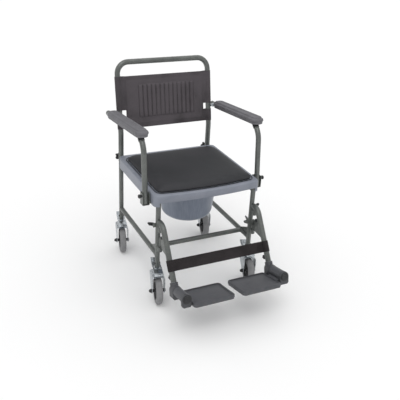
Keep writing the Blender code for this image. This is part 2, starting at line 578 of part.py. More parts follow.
def make_hanger(side, s, chair):
    """Bent tube and hinge bracket."""
    x = s * LEG_X
    hinge = Vector((x, HINGE_Y, 0))
    meet = hanger_point(x, HUB_Z)
    end = meet - DOWN * (SLEEVE_LENGTH + SIDE_GAP)
    corners = [(x, HINGE_Y + 0.010, HANGER_TOP), hanger_point(x, HANGER_TOP), end]
    hanger = tube(bent_path(corners, (HANGER_BEND,)), HANGER_R, HANGER_WALL)
    hanger = node(f"hanger_tube_{side}", FRAME_PAINT, hanger, chair, hinge)
    join(hanger, rod((x, HINGE_Y, HIGH_SOCKET + 0.002), (x, HINGE_Y, HANGER_TOP - HANGER_R + 0.004), PIN_R))
    screw = meet - DOWN * CLAMP_UP
    cut(hanger, rod(screw, screw + BEHIND * 0.03, LATCH_PIN_R + GAP, sides=12))
    low = LOW_SOCKET + SOCKET_HEIGHT + GAP
    high = low + BRACKET_HEIGHT
    sheet = [(HINGE_Y + 0.005, low), (HINGE_Y - SOCKET_R - SIDE_GAP, low), (hanger_point(x, low).y, low - 0.006)]
    sheet += [(hanger_point(x, high).y, high + 0.006), (HINGE_Y + 0.005, high)]
    half = BRACKET_PLATE / 2
    bracket = prism(sheet, lambda u, v, d: Vector((x + d, u, v)), -half, half)
    bracket = node(f"hanger_bracket_{side}", FRAME_PAINT, bracket, hanger, hinge)
    cut(bracket, rod(hanger_point(x, 0.42), hanger_point(x, 0.15), HANGER_R + GAP))
    join(bracket, rod((x, HINGE_Y, LOW_SOCKET + 0.002), (x, HINGE_Y, high - 0.004), PIN_R))
    ball = Vector((x, HINGE_Y - 0.023, high + 0.006))
    join(bracket, rod(ball - Vector((half + 0.005, 0, 0)), ball + Vector((half + 0.005, 0, 0)), BRACKET_BALL_R, sides=12))
    if s > 0:
        # The right bracket carries the forked hook that the free end of the calf strap is parked on.
        hook = [(0.001, -0.028), (0.001, -0.006), (0.014, -0.006), (0.024, 0.004), (0.044, 0.028), (0.048, 0.024)]
        hook += [(0.038, 0.004), (0.050, 0.002), (0.052, -0.006), (0.034, -0.014), (0.020, -0.026)]
        join(bracket, prism(hook, lambda u, v, d: Vector((x - u, d, high + v)), HINGE_Y - 0.008, HINGE_Y + 0.003))
    return hanger


def make_release_lever(side, s, chair):
    """The lever that holds the hanger locked, on a tab of the front leg."""
    px = s * (LEG_X + LEVER_OUT)
    tab_rear = FRONT_Y + 0.0035
    xs = sorted((s * (LEG_X + LEG_R - 0.001), px + s * 0.005))
    leg = bpy.data.objects[f"front_leg_{side}"]
    join(leg, box((xs[0], tab_rear - 0.009, LEVER_Z - 0.010), (xs[1], tab_rear, LEVER_Z + 0.008)))
    join(leg, rod((px, tab_rear - 0.004, LEVER_Z), (px, tab_rear + 0.011, LEVER_Z), LEVER_PIN_R, sides=12))
    fin = [(-0.005, -0.005), (0.004, -0.0075), (0.020, -0.002), (0.026, 0.006), (0.023, 0.012), (0.010, 0.009), (-0.004, 0.005)]
    lever = prism(fin, lambda u, v, d: Vector((px + s * u, d, LEVER_Z + v)), tab_rear + RUN, tab_rear + 0.010)
    lever = node(f"release_lever_{side}", BLACK_PLASTIC, lever, leg, (px, tab_rear, LEVER_Z))
    cut(lever, rod((px, tab_rear - 0.01, LEVER_Z), (px, tab_rear + 0.03, LEVER_Z), LEVER_PIN_R + GAP, sides=12))


def make_footrest(side, s, hanger):
    """Telescopic stem, hub, footplate and clamp knob."""
    x = s * LEG_X
    meet = hanger_point(x, HUB_Z)
    slide_r = HANGER_R - HANGER_WALL - RUN
    stem = tube([meet - DOWN * STEM_INSERT, meet], slide_r, STEM_WALL)
    stem = node(f"footrest_stem_{side}", STEEL, stem, hanger, meet)

    def at(p, q, t):
        """A point by its distance outboard of the footplate's axis, above it, and along it."""
        return meet + Vector((s * p, 0, 0)) + HUB_UP * q + TOES * t

    outline = [(HUB_R - 0.006, -HUB_DOWN), (HUB_R, -HUB_DOWN + 0.008)] + arc((0, 0), HUB_R, 0, 180, 8)
    outline += [(-HUB_R, -HUB_DOWN + 0.008), (-HUB_R + 0.006, -HUB_DOWN)]
    hub = prism(outline, at, HUB_REAR, HUB_FRONT)
    hub = node(f"footrest_hub_{side}", HUB_PLASTIC, hub, stem, meet)
    room = [(-0.06, -0.06), (0.06, -0.06), (0.06, 0.06), (-0.06, 0.06)]
    cut(hub, prism(room, at, KNUCKLE_FROM, KNUCKLE_TO))
    join(hub, rod(at(0, 0, KNUCKLE_FROM - 0.004), at(0, 0, KNUCKLE_TO + 0.004), AXLE_R))
    join(hub, rod(at(0, 0, HUB_FRONT - 0.002), at(0, 0, HUB_FRONT + HUB_CAP), HUB_CAP_R))
    join(hub, rod(meet - DOWN * SLEEVE_LENGTH, meet + DOWN * 0.004, slide_r + GAP + SLEEVE_WALL))
    cut(hub, rod(meet - DOWN * (SLEEVE_LENGTH + 0.01), meet + DOWN * GAP, slide_r + GAP))
    outer = HUB_R - SIDE_GAP
    knuckle = ring_tube(at(0, 0, KNUCKLE_FROM + SIDE_GAP), at(0, 0, KNUCKLE_TO - SIDE_GAP), outer, outer - AXLE_R - RUN)
    plate = node(f"footplate_{side}", PLATE_PLASTIC, knuckle, hub, meet)
    web = [(-0.031, PLATE_TOP - PLATE_THICK + 0.002), (-0.010, PLATE_TOP + 0.002), (-0.010, PLATE_TOP + 0.008), (-0.031, PLATE_TOP + 0.0005)]
    join(plate, prism(web, at, KNUCKLE_FROM + SIDE_GAP, KNUCKLE_TO - SIDE_GAP))
    width = LEG_X - PLATE_INNER

    def plan(inset, q):
        near, far, r = -PLATE_EDGE - inset, -width + inset, 0.014 - inset
        low, high = PLATE_FROM + inset, PLATE_TO - inset
        points = arc((near - r, high - r), r, 0, 90, 4) + arc((far + r, high - r), r, 90, 180, 4)
        points += arc((far + r, low + r), r, 180, 270, 4) + arc((near - r, low + r), r, 270, 360, 4)
        return [at(p, q, t) for p, t in points]

    levels = ((PLATE_TOP - PLATE_THICK, 0.003), (PLATE_TOP - 0.003, 0), (PLATE_TOP, 0.003))
    join(plate, loft([plan(inset, q) for q, inset in levels]))
    screw = meet - DOWN * CLAMP_UP
    start = screw + BEHIND * (HANGER_R + 0.004)
    knob = node(f"stem_knob_{side}", BLACK_PLASTIC, rod(start, start + BEHIND * 0.014, 0.011, sides=12), hanger, start)
    join(knob, rod(screw + BEHIND * (slide_r + RUN), start + BEHIND * 0.004, LATCH_PIN_R, sides=12))


def make_strap(hangers):
    """Calf strap on the left hanger, and the loop on the right one that it hooks into."""
    half = STRAP_WIDTH / 2
    loop_r = HANGER_R + GAP * 2 + STRAP_THICK
    for (side, s), name in zip(SIDE_NAMES, ("calf_strap", "strap_loop")):
        middle = hanger_point(s * LEG_X, STRAP_Z)
        ring = ring_tube(middle - DOWN * half, middle + DOWN * half, loop_r, STRAP_THICK)
        loop = node(name, STRAP_WEBBING, ring, hangers[side], middle)
        if s < 0:
            ends = (loop_r - STRAP_THICK / 2, TRACK - loop_r - SIDE_GAP)
            front = -BEHIND * (STRAP_THICK / 2)
            outline = [(ends[0], -half + 0.0005), (ends[1], -half + 0.0005), (ends[1], half - 0.0005), (ends[0], half - 0.0005)]
            join(loop, prism(outline, lambda u, v, d: middle + Vector((u, 0, 0)) + DOWN * v + front * (2 * d), 0, 1))


def make_caster(name, x, y, chair):
    """Swivel fork with its stem, wheel, axle and brake pedal, made with the wheel towards -Y and then turned."""
    axle = Vector((x, y - TRAIL, WHEEL_R))
    outer = FORK_INNER + FORK_WALL
    outline = [(0.027, CROWN_BOTTOM + 0.006), (0.029, 0.119), (0.010, 0.095)]
    outline += arc((-TRAIL, WHEEL_R), 0.013, -20, -160, 5)
    outline += [(-0.058, 0.095), (-0.056, 0.118), (-0.047, CROWN_BOTTOM + 0.006)]
    fork = prism(outline, lambda u, v, d: Vector((x + d, y + u, v)), -outer, outer)
    fork = node(f"caster_fork_{name}", ZINC, fork, chair, (x, y, CROWN_TOP))
    fork.rotation_euler.z = math.radians(SWIVEL)
    cut(fork, box((x - FORK_INNER, y - 0.2, -0.01), (x + FORK_INNER, y + 0.2, CROWN_BOTTOM)))
    join(fork, rod((x, y, CROWN_BOTTOM + 0.001), (x, y, CROWN_TOP), CROWN_R))
    join(fork, rod((x, y, CROWN_TOP - 0.002), (x, y, LEG_BOTTOM - GAP), NECK_R))
    join(fork, rod((x, y, LEG_BOTTOM - 0.003), (x, y, LEG_BOTTOM + CASTER_STEM), LEG_R - LEG_WALL - RUN))
    half, bore = WHEEL_WIDTH / 2, WHEEL_AXLE_R + RUN
    reach = Vector((outer + 0.01, 0, 0))
    cut(fork, rod(axle - reach, axle + reach, WHEEL_AXLE_R + GAP, sides=12))
    head = Vector((outer + AXLE_CAP, 0, 0))
    pin = node(f"caster_axle_{name}", BLACK_PLASTIC, rod(axle - head, axle + head, WHEEL_AXLE_R, sides=12), fork, axle)
    for sign in (-1, 1):
        ends = [axle + Vector((sign * far, 0, 0)) for far in (outer + GAP, outer + AXLE_CAP)]
        join(pin, rod(*ends, AXLE_CAP_R, sides=12))
        ends = [axle + Vector((sign * far, 0, 0)) for far in (half + SIDE_GAP, FORK_INNER - GAP)]
        join(pin, rod(*ends, SPACER_R, sides=12))
    tyre = [(0.060, half * 0.62), (WHEEL_R, half * 0.30), (WHEEL_R, -half * 0.30), (0.060, -half * 0.62)]
    profile = [(bore, half), (0.012, half), (0.014, half * 0.55), (0.040, half * 0.55), (0.043, half * 0.95), (0.052, half)]
    profile += tyre + [(r, -w) for r, w in reversed(profile)]
    wheel = turned(profile, lambda u, v, h: axle + Vector((h, u, v)), 24)
    node(f"caster_wheel_{name}", TYRE_RUBBER, wheel, fork, axle)
    bend = [(0.066, 0.014), (0.044, 0.0015), (-0.046, 0.0), (-0.060, -0.007)]
    strip = [(u, v + PEDAL_THICK / 2) for u, v in bend] + [(u, v - PEDAL_THICK / 2) for u, v in reversed(bend)]
    width = PEDAL_WIDTH / 2
    pedal = prism(strip, lambda u, v, d: Vector((x + d, y + u, PEDAL_Z + v)), -width, width)
    pedal = node(f"brake_pedal_{name}", ZINC, pedal, fork, (x, y, PEDAL_Z))
    room = NECK_R + 0.002
    cut(pedal, box((x - room, y - room, PEDAL_Z - 0.02), (x + room, y + room, PEDAL_Z + 0.02)))


def centre_on_origin(chair):
    """Puts the middle of the chair's underside at the origin."""
    bpy.context.view_layer.update()
    graph = bpy.context.evaluated_depsgraph_get()
    points = []
    for obj in bpy.data.objects:
        if obj.type == "MESH" and not obj.hide_render:
            shape = obj.evaluated_get(graph)
            points += [shape.matrix_world @ v.co for v in shape.data.vertices]
    middle = [(min(p[i] for p in points) + max(p[i] for p in points)) / 2 for i in (0, 1)]
    chair.location = (-middle[0], -middle[1], -min(p.z for p in points))
    bpy.context.view_layer.update()


def main():
    clear_scene()
    chair = bpy.data.objects.new("chair", None)
    bpy.context.scene.collection.objects.link(chair)
    make_frame(chair)
    make_arm_brackets(chair)
    make_seat(chair)
    make_seat_goods(chair)
    back = make_back(chair)
    make_arms(chair, back)
    hangers = {side: make_hanger(side, s, chair) for side, s in SIDE_NAMES}
    for side, s in SIDE_NAMES:
        make_release_lever(side, s, chair)
        make_footrest(side, s, hangers[side])
    make_strap(hangers)
    for side, s in SIDE_NAMES:
        make_caster(f"front_{side}", s * LEG_X, FRONT_Y, chair)
        make_caster(f"rear_{side}", s * LEG_X, REAR_Y, chair)
    centre_on_origin(chair)


main()
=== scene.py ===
import json
import math

import bpy
from mathutils import Matrix, Vector

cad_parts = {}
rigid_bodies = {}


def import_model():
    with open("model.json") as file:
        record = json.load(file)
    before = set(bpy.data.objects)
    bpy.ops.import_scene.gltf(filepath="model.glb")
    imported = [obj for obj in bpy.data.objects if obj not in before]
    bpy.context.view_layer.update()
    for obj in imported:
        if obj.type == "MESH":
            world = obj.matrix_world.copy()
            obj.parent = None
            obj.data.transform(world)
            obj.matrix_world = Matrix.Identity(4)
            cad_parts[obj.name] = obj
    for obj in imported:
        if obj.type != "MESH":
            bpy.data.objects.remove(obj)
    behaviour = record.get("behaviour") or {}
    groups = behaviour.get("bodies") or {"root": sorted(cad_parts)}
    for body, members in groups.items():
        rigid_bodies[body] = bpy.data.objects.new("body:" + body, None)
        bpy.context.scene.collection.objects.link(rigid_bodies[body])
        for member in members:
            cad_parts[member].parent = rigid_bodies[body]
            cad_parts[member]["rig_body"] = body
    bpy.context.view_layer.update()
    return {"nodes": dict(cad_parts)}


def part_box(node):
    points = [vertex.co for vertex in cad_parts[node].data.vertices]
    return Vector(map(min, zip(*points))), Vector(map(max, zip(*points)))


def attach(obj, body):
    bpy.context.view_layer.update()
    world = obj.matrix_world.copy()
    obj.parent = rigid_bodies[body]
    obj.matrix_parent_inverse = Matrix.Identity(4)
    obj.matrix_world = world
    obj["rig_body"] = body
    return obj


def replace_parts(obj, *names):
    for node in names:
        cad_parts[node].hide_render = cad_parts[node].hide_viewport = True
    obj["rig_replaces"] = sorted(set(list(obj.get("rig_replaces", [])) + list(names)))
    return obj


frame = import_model()

# The chair is seen from the front left, at standing height, through a medium long lens held a little
# off level. It stands on a plain pale sheet under soft studio light: bright overhead, dimmer at the
# sides, with one wide softbox from the front left.
YAW, PITCH, ROLL = math.radians(-27.035), math.radians(26.190), math.radians(3.282)
looking = Vector((-math.sin(YAW) * math.cos(PITCH), math.cos(YAW) * math.cos(PITCH), -math.sin(PITCH)))
level = Vector((math.cos(YAW), math.sin(YAW), 0))
above = level.cross(looking)
sideways = math.cos(ROLL) * level + math.sin(ROLL) * above
upwards = -math.sin(ROLL) * level + math.cos(ROLL) * above
camera = bpy.data.objects.new("camera", bpy.data.cameras.new("camera"))
bpy.context.scene.collection.objects.link(camera)
camera.data.lens, camera.data.sensor_width = 55.17, 36.0
camera_turn = Matrix((sideways, upwards, -looking)).transposed().to_4x4()
camera.matrix_world = Matrix.Translation((-1.1251, -2.2385, 1.6371)) @ camera_turn
bpy.context.scene.camera = camera

world = bpy.data.worlds.new("studio")
world.use_nodes = True
bpy.context.scene.world = world
bpy.context.scene.view_settings.view_transform = "Standard"
sky, wire = world.node_tree.nodes, world.node_tree.links.new
toward, height = sky.new("ShaderNodeTexCoord"), sky.new("ShaderNodeSeparateXYZ")
glow = sky.new("ShaderNodeMapRange")
glow.inputs["To Min"].default_value, glow.inputs["To Max"].default_value = 0.42, 1.22
sky["Background"].inputs["Color"].default_value = (1, 1, 1, 1)
wire(toward.outputs["Generated"], height.inputs[0])
wire(height.outputs["Z"], glow.inputs["Value"])
wire(glow.outputs["Result"], sky["Background"].inputs["Strength"])
lamp = bpy.data.objects.new("softbox", bpy.data.lights.new("softbox", "SUN"))
lamp.data.energy, lamp.data.angle = 0.55, math.radians(35)
lamp.rotation_euler = Vector((1.0, 1.6, -3.0)).to_track_quat("-Z", "Y").to_euler()
bpy.context.scene.collection.objects.link(lamp)

bpy.ops.object.select_all(action="DESELECT")
bpy.ops.mesh.primitive_plane_add(size=30, location=(0, 0, -0.0002))
floor = bpy.context.object
floor.name = "studio_floor"
backdrop = bpy.data.materials.new("matt_backdrop_paper")
backdrop.use_nodes = True
paper = backdrop.node_tree.nodes["Principled BSDF"].inputs
paper["Base Color"].default_value = (0.93, 0.93, 0.93, 1)
paper["Roughness"].default_value, paper["Specular IOR Level"].default_value = 0.95, 0.1
floor.data.materials.append(backdrop)


# The legs are 22 mm round steel tube. Each front leg carries two welded sockets for the footrest and a
# tab with the pin of the release lever. All of it is powder coated in one go after welding, which gives
# a satin skin with a faint orange peel and soft edges.
LEG_R = 0.011
low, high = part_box("rear_leg_left")
LEG_X, REAR_Y = -(low.x + high.x) / 2, (low.y + high.y) / 2
FRONT_Y = REAR_Y - 0.480
HINGE_Y = FRONT_Y - 0.0275


def srgb(code):
    """A linear colour from a hex code."""
    parts = [int(code[i : i + 2], 16) / 255 for i in (0, 2, 4)]
    return [c / 12.92 if c <= 0.04045 else ((c + 0.055) / 1.055) ** 2.4 for c in parts] + [1.0]


def put(material, kind, links=None, stops=None, **settings):
    """Adds a node: its properties start with a small letter and its sockets with a capital."""
    node = material.node_tree.nodes.new("ShaderNode" + kind)
    for name, value in settings.items():
        if name[0].islower():
            setattr(node, name, value)
        else:
            node.inputs[name.replace("_", " ")].default_value = srgb(value) if isinstance(value, str) else value
    if stops:
        while len(node.color_ramp.elements) < len(stops):
            node.color_ramp.elements.new(0.5)
        for element, (place, value) in zip(node.color_ramp.elements, stops):
            element.position, element.color = place, srgb(value)
    for socket, source in (links or {}).items():
        material.node_tree.links.new(source, node.inputs[socket])
    return node


def blank_material(name):
    material = bpy.data.materials.new(name)
    material.use_nodes = True
    material.node_tree.nodes.clear()
    return material


def surface(material, colour, shine, raised, stops, dull, relief, **finish):
    """Ends a material: a colour ramp, a range of roughness and a raised grain go into one shader."""
    tone = put(material, "ValToRGB", {"Fac": colour}, stops=stops)
    gloss = put(material, "MapRange", {"Value": shine}, To_Min=dull[0], To_Max=dull[1])
    skin = put(material, "Bump", {"Height": raised}, Strength=relief[0], Distance=relief[1])
    links = {"Base Color": tone.outputs["Color"], "Normal": skin.outputs["Normal"]}
    links["Roughness"] = gloss.outputs["Result"]
    shader = put(material, "BsdfPrincipled", links, **finish)
    put(material, "OutputMaterial", {"Surface": shader.outputs["BSDF"]})
    return material


def mottled(name, cloud, grain, *ending, **finish):
    """A surface with clouds (scale, detail, distortion) in its colour and gloss, and a fine grain."""
    material = blank_material(name)
    spot = put(material, "TexCoord").outputs["Object"]
    scale, detail, stir = cloud
    soft = put(material, "TexNoise", {"Vector": spot}, Scale=scale, Detail=detail, Distortion=stir)
    fine = put(material, "TexNoise", {"Vector": spot}, Scale=grain, Detail=2.0).outputs["Fac"]
    return surface(material, soft.outputs["Fac"], soft.outputs["Fac"], fine, *ending, **finish)


def leave_all():
    if bpy.context.mode != "OBJECT":
        bpy.ops.object.mode_set(mode="OBJECT")
    bpy.ops.object.select_all(action="DESELECT")


def pick(obj):
    leave_all()
    obj.select_set(True)
    bpy.context.view_layer.objects.active = obj
    return obj


def edit(obj):
    """Edit mode, with all of the piece selected."""
    pick(obj)
    bpy.ops.object.mode_set(mode="EDIT")
    bpy.ops.mesh.select_mode(type="VERT")
    bpy.ops.mesh.select_all(action="SELECT")
    return obj


def applied(obj, kind, **settings):
    """Puts one modifier on the piece and applies it."""
    pick(obj)
    change = obj.modifiers.new(kind.lower(), kind)
    for name, value in settings.items():
        setattr(change, name, value)
    bpy.ops.object.modifier_apply(modifier=change.name)
    return obj


def tidy(obj):
    """Closes open ends, joins doubled points and turns the faces outwards."""
    edit(obj)
    bpy.ops.mesh.remove_doubles(threshold=1e-6)
    bpy.ops.mesh.fill_holes(sides=0)
    bpy.ops.mesh.normals_make_consistent(inside=False)
    bpy.ops.object.mode_set(mode="OBJECT")
    return obj


def bent_tube(corners, radius, bends=(), sides=40):
    """A tube drawn out along its straight runs, and bent round a former at each corner."""
    corners = [Vector(c) for c in corners]
    ahead = (corners[1] - corners[0]).normalized()
    leave_all()
    facing = ahead.to_track_quat("Z", "Y").to_euler()
    bpy.ops.mesh.primitive_circle_add(vertices=sides, radius=radius, location=corners[0], rotation=facing)
    edit(bpy.context.object)
    at = corners[0]
    for i, corner in enumerate(corners[1:]):
        stop, after = corner, ahead
        if i < len(bends):
            after = (corners[i + 2] - corner).normalized()
            turn, axis = ahead.angle(after), ahead.cross(after).normalized()
            stop = corner - ahead * bends[i] * math.tan(turn / 2)
        bpy.ops.mesh.extrude_region_move(TRANSFORM_OT_translate={"value": stop - at})
        at = stop
        if i < len(bends):
            centre = stop + axis.cross(ahead) * bends[i]
            steps = max(3, round(math.degrees(turn) / 6))
            bpy.ops.mesh.spin(steps=steps, angle=-turn, center=centre, axis=axis)
            at = corner + after * bends[i] * math.tan(turn / 2)
        ahead = after
    return tidy(bpy.context.object)


def meshed(name, points, faces, edges=()):
    leave_all()
    mesh = bpy.data.meshes.new(name)
    mesh.from_pydata([Vector(p) for p in points], edges, faces)
    obj = bpy.data.objects.new(name, mesh)
    bpy.context.scene.collection.objects.link(obj)
    return pick(obj)


def drawn(points, closed=True):
    """A line of points as a new object: a face where it is closed."""
    if closed:
        return meshed("drawn", points, [tuple(range(len(points)))])
    return meshed("drawn", points, [], [(i, i + 1) for i in range(len(points) - 1)])


def bevelled(obj, width, segments=2, angle=35):
    limit = math.radians(angle)
    return applied(obj, "BEVEL", width=width, segments=segments, limit_method="ANGLE", angle_limit=limit)


def plate(points, depth, round_by=0.0, segments=2, angle=35):
    """A flat outline drawn out by the depth, with its edges eased."""
    obj = edit(drawn(points))
    bpy.ops.mesh.extrude_region_move(TRANSFORM_OT_translate={"value": Vector(depth)})
    tidy(obj)
    return bevelled(obj, round_by, segments, angle) if round_by else obj


def block(low, high, round_by=0.0, segments=2):
    low, high = Vector(low), Vector(high)
    corners = [(low.x, low.y, low.z), (high.x, low.y, low.z), (high.x, high.y, low.z), (low.x, high.y, low.z)]
    return plate(corners, (0, 0, high.z - low.z), round_by, segments)


def turned(profile, foot, axis, steps=40):
    """A (radius, height) profile spun once round the axis that stands on the foot."""
    foot, axis = Vector(foot), Vector(axis).normalized()
    side = axis.orthogonal().normalized()
    obj = edit(drawn([foot + side * r + axis * h for r, h in profile], closed=False))
    bpy.ops.mesh.spin(steps=steps, angle=2 * math.pi, center=foot, axis=axis)
    return tidy(obj)


def joined(*objects):
    leave_all()
    for obj in objects:
        obj.select_set(True)
    bpy.context.view_layer.objects.active = objects[0]
    bpy.ops.object.join()
    return bpy.context.object


def fit(obj, name, material, body, slot, *nodes, smooth=35):
    """Names a finished piece, gives it its surface, and fixes it to the body that it moves with."""
    pick(obj)
    bpy.ops.object.transform_apply(location=True, rotation=True, scale=True)
    bpy.ops.object.shade_smooth_by_angle(angle=math.radians(smooth))
    obj.name = obj.data.name = name
    obj.data.materials.clear()
    obj.data.materials.append(material)
    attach(obj, body)
    if nodes:
        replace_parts(obj, *nodes)
    return obj


def copied(obj, name, body, *nodes, move=None):
    """A copy with its own mesh: mirrored to the other side, or moved by the given matrix."""
    leave_all()
    other = obj.copy()
    other.data = obj.data.copy()
    other.name = other.data.name = name
    other.parent = None
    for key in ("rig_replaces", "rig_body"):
        if key in other:
            del other[key]
    other.data.transform(move if move else Matrix.Scale(-1, 4, (1, 0, 0)))
    if not move:
        other.data.flip_normals()
    bpy.context.scene.collection.objects.link(other)
    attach(other, body)
    if nodes:
        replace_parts(other, *nodes)
    return other


def pair(obj, name, material, body, slot, node=None, smooth=35):
    """Fits the left piece and mirrors it. A body that has a left and a right ends in an underscore."""
    sided, nodes = body.endswith("_"), [node] if node else []
    left_body, right_body = (body + "left", body + "right") if sided else (body, body)
    fit(obj, name + "left", material, left_body, slot, *[n + "left" for n in nodes], smooth=smooth)
    return obj, copied(obj, name + "right", right_body, *[n + "right" for n in nodes])


# satin powder coat: clouds 60 mm across in the thickness of the film, orange peel 2 mm, and a fine mica
# sparkle of 0.4 mm. The satin skin gives long soft highlights down each tube
powder_coat = blank_material("satin_powder_coat")
spot = put(powder_coat, "TexCoord").outputs["Object"]
film = put(powder_coat, "TexNoise", {"Vector": spot}, Scale=16.0, Detail=3.0).outputs["Fac"]
peel = put(powder_coat, "TexNoise", {"Vector": spot}, Scale=500.0, Detail=2.0).outputs["Fac"]
mica = put(powder_coat, "TexNoise", {"Vector": spot}, Scale=2400.0, Detail=1.0).outputs["Fac"]
mixed = put(powder_coat, "Math", {0: film, 1: mica, 2: peel}, operation="MULTIPLY_ADD").outputs[0]
stops = ((0.50, "515452"), (0.75, "636664"), (1.0, "7C7F7B"))
surface(powder_coat, mixed, film, peel, stops, (0.26, 0.38), (0.12, 0.0004), Metallic=0.35)

x = -LEG_X
leg_bottom, leg_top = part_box("front_leg_left")[0].z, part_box("front_leg_left")[1].z
leg = bent_tube([(x, FRONT_Y, leg_bottom), (x, FRONT_Y, leg_top)], LEG_R)
bevelled(leg, 0.0008, 2)
sockets = []
for z in (0.256, 0.352):
    ring = [(0.0064, 0), (0.0097, 0), (0.0105, 0.0008), (0.0105, 0.0212), (0.0097, 0.022), (0.0064, 0.022),
        (0.0064, 0)]
    sockets.append(turned(ring, (x, HINGE_Y, z), (0, 0, 1)))
    sockets.append(block((x - 0.004, HINGE_Y + 0.0085, z + 0.001), (x + 0.004, FRONT_Y - LEG_R + 0.002, z + 0.021),
        0.001))
tab = block((x - 0.024, FRONT_Y - 0.0055, 0.366), (x - 0.009, FRONT_Y + 0.0035, 0.384), 0.0012)
pin = turned([(0, 0), (0.0025, 0), (0.0025, 0.0118), (0.0045, 0.0118), (0.004, 0.0138), (0, 0.0145)],
    (x - 0.019, FRONT_Y, 0.376), (0, 1, 0), 16)
pair(joined(leg, *sockets, tab, pin), "front_leg_tube_", powder_coat, "frame", "frame_paint", "front_leg_")

leg = bevelled(bent_tube([(x, REAR_Y, leg_bottom), (x, REAR_Y, high.z)], LEG_R), 0.0008, 2)
pair(leg, "rear_leg_tube_", powder_coat, "frame", "frame_paint", "rear_leg_")


# The rails and the lower crossbar are the same tube, mitred to the legs and welded all round. A flat
# triangular gusset stiffens each front corner. The two seat crossbars are bent flat bars that carry
# the seat, and keep the shape that they have.
RAIL_Z, LOWER_Z = 0.4677, 0.222
BAR_Y = FRONT_Y + 0.064 + LEG_R
near, far = FRONT_Y + 0.004, REAR_Y - 0.004
rail = bent_tube([(x, near, RAIL_Z), (x, far, RAIL_Z)], LEG_R)
pair(rail, "seat_rail_tube_", powder_coat, "frame", "frame_paint", "seat_rail_")
rail = bent_tube([(x, near, LOWER_Z), (x, far, LOWER_Z)], LEG_R)
base = LOWER_Z + LEG_R - 0.001
corners = [(FRONT_Y + 0.009, base), (FRONT_Y + 0.083, base), (FRONT_Y + 0.083, base + 0.003),
    (FRONT_Y + 0.017, base + 0.0343), (FRONT_Y + 0.009, base + 0.0343)]
gusset = plate([(x - 0.002, y, z) for y, z in corners], (0.004, 0, 0), 0.0007)
pair(joined(rail, gusset), "lower_rail_tube_", powder_coat, "frame", "frame_paint", "lower_rail_")
bar = bent_tube([(x + 0.004, BAR_Y, LOWER_Z), (LEG_X - 0.004, BAR_Y, LOWER_Z)], LEG_R)
fit(bar, "lower_crossbar_tube", powder_coat, "frame", "frame_paint", "lower_crossbar")
for name in ("seat_crossbar_front", "seat_crossbar_rear"):
    frame["nodes"][name].data.materials.clear()
    frame["nodes"][name].data.materials.append(powder_coat)


def weld(centre, along, across, radius=LEG_R, bead=0.0013):
    """The bead where a tube that runs along meets one that runs across."""
    along, across = Vector(along), Vector(across)
    third = along.cross(across)
    points = []
    for k in range(48):
        turn = 2 * math.pi * k / 48
        lift = math.sqrt(max(LEG_R**2 - (radius * math.sin(turn)) ** 2, 0))
        ripple = 1 + 0.02 * math.cos(12 * turn)
        outwards = math.cos(turn) * across + math.sin(turn) * third
        points.append(Vector(centre) + radius * ripple * outwards + lift * along)
    line = drawn(points + [points[0]], closed=False)
    bpy.ops.object.convert(target="CURVE")
    line = bpy.context.object
    line.data.bevel_depth, line.data.bevel_resolution, line.data.use_fill_caps = bead, 2, True
    bpy.ops.object.convert(target="MESH")
    return bpy.context.object


beads = []
for side in (-1, 1):
    for z in (RAIL_Z, LOWER_Z):
        beads.append(weld((side * LEG_X, FRONT_Y, z), (0, 1, 0), (0, 0, 1)))
        beads.append(weld((side * LEG_X, REAR_Y, z), (0, -1, 0), (0, 0, 1)))
    beads.append(weld((side * LEG_X, BAR_Y, LOWER_Z), (-side, 0, 0), (0, 1, 0)))
fit(joined(*beads), "weld_beads", powder_coat, "frame", "frame_paint", smooth=60)


# A steel cross bolt clamps each caster's stem in the foot of its leg. Its head and its nut are both
# closed with a low domed cap of moulded black nylon, one on each side of the tube.
# moulded nylon: near black with a faint grey bloom, and the 0.8 mm grain of a spark-eroded mould
tones = ((0.35, "1B1C1E"), (0.7, "2A2B2D"))
black_nylon = mottled("moulded_black_nylon", (60.0, 4.0, 0.0), 1200.0, tones, (0.36, 0.55), (0.2, 0.0003), IOR=1.53)
head = [(0, -0.001), (0.0046, -0.001), (0.0046, 0.001), (0.0038, 0.0028), (0.002, 0.0036), (0, 0.0038)]
bolts = []
for y in (FRONT_Y, REAR_Y):
    bolts += [turned(head, (x - LEG_R, y, 0.181), (-1, 0, 0), 20),
        turned(head, (x + LEG_R, y, 0.181), (1, 0, 0), 20)]
pair(joined(*bolts), "caster_bolts_", black_nylon, "frame", "black_plastic")


# Each armrest receiver is a folded and welded steel channel on the seat rail, open to the front and the
# top so that the arm's post swings out of it. It is powder coated with the frame.
ARM_X = LEG_X + 0.043
low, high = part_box("armrest_bracket_left")
inner, outer = -ARM_X + 0.013, -ARM_X + 0.0155
back_face = high.y - 0.0025
channel = [(-ARM_X - 0.0155, low.y), (-ARM_X - 0.013, low.y), (-ARM_X - 0.013, back_face), (inner, back_face),
    (inner, low.y), (outer, low.y), (outer, high.y), (-ARM_X - 0.0155, high.y)]
walls = plate([(px, py, low.z) for px, py in channel], (0, 0, high.z - low.z), 0.0009)
sole = block((-ARM_X - 0.0152, low.y, low.z), (outer - 0.0003, high.y - 0.0004, low.z + 0.0025), 0.0006)
arm_strap = block((outer - 0.0005, low.y + 0.002, RAIL_Z - 0.0055), (x - LEG_R * 0.86, back_face, RAIL_Z + 0.0055),
    0.001)
pair(joined(walls, sole, arm_strap), "armrest_receiver_", powder_coat, "frame", "frame_paint", "armrest_bracket_")


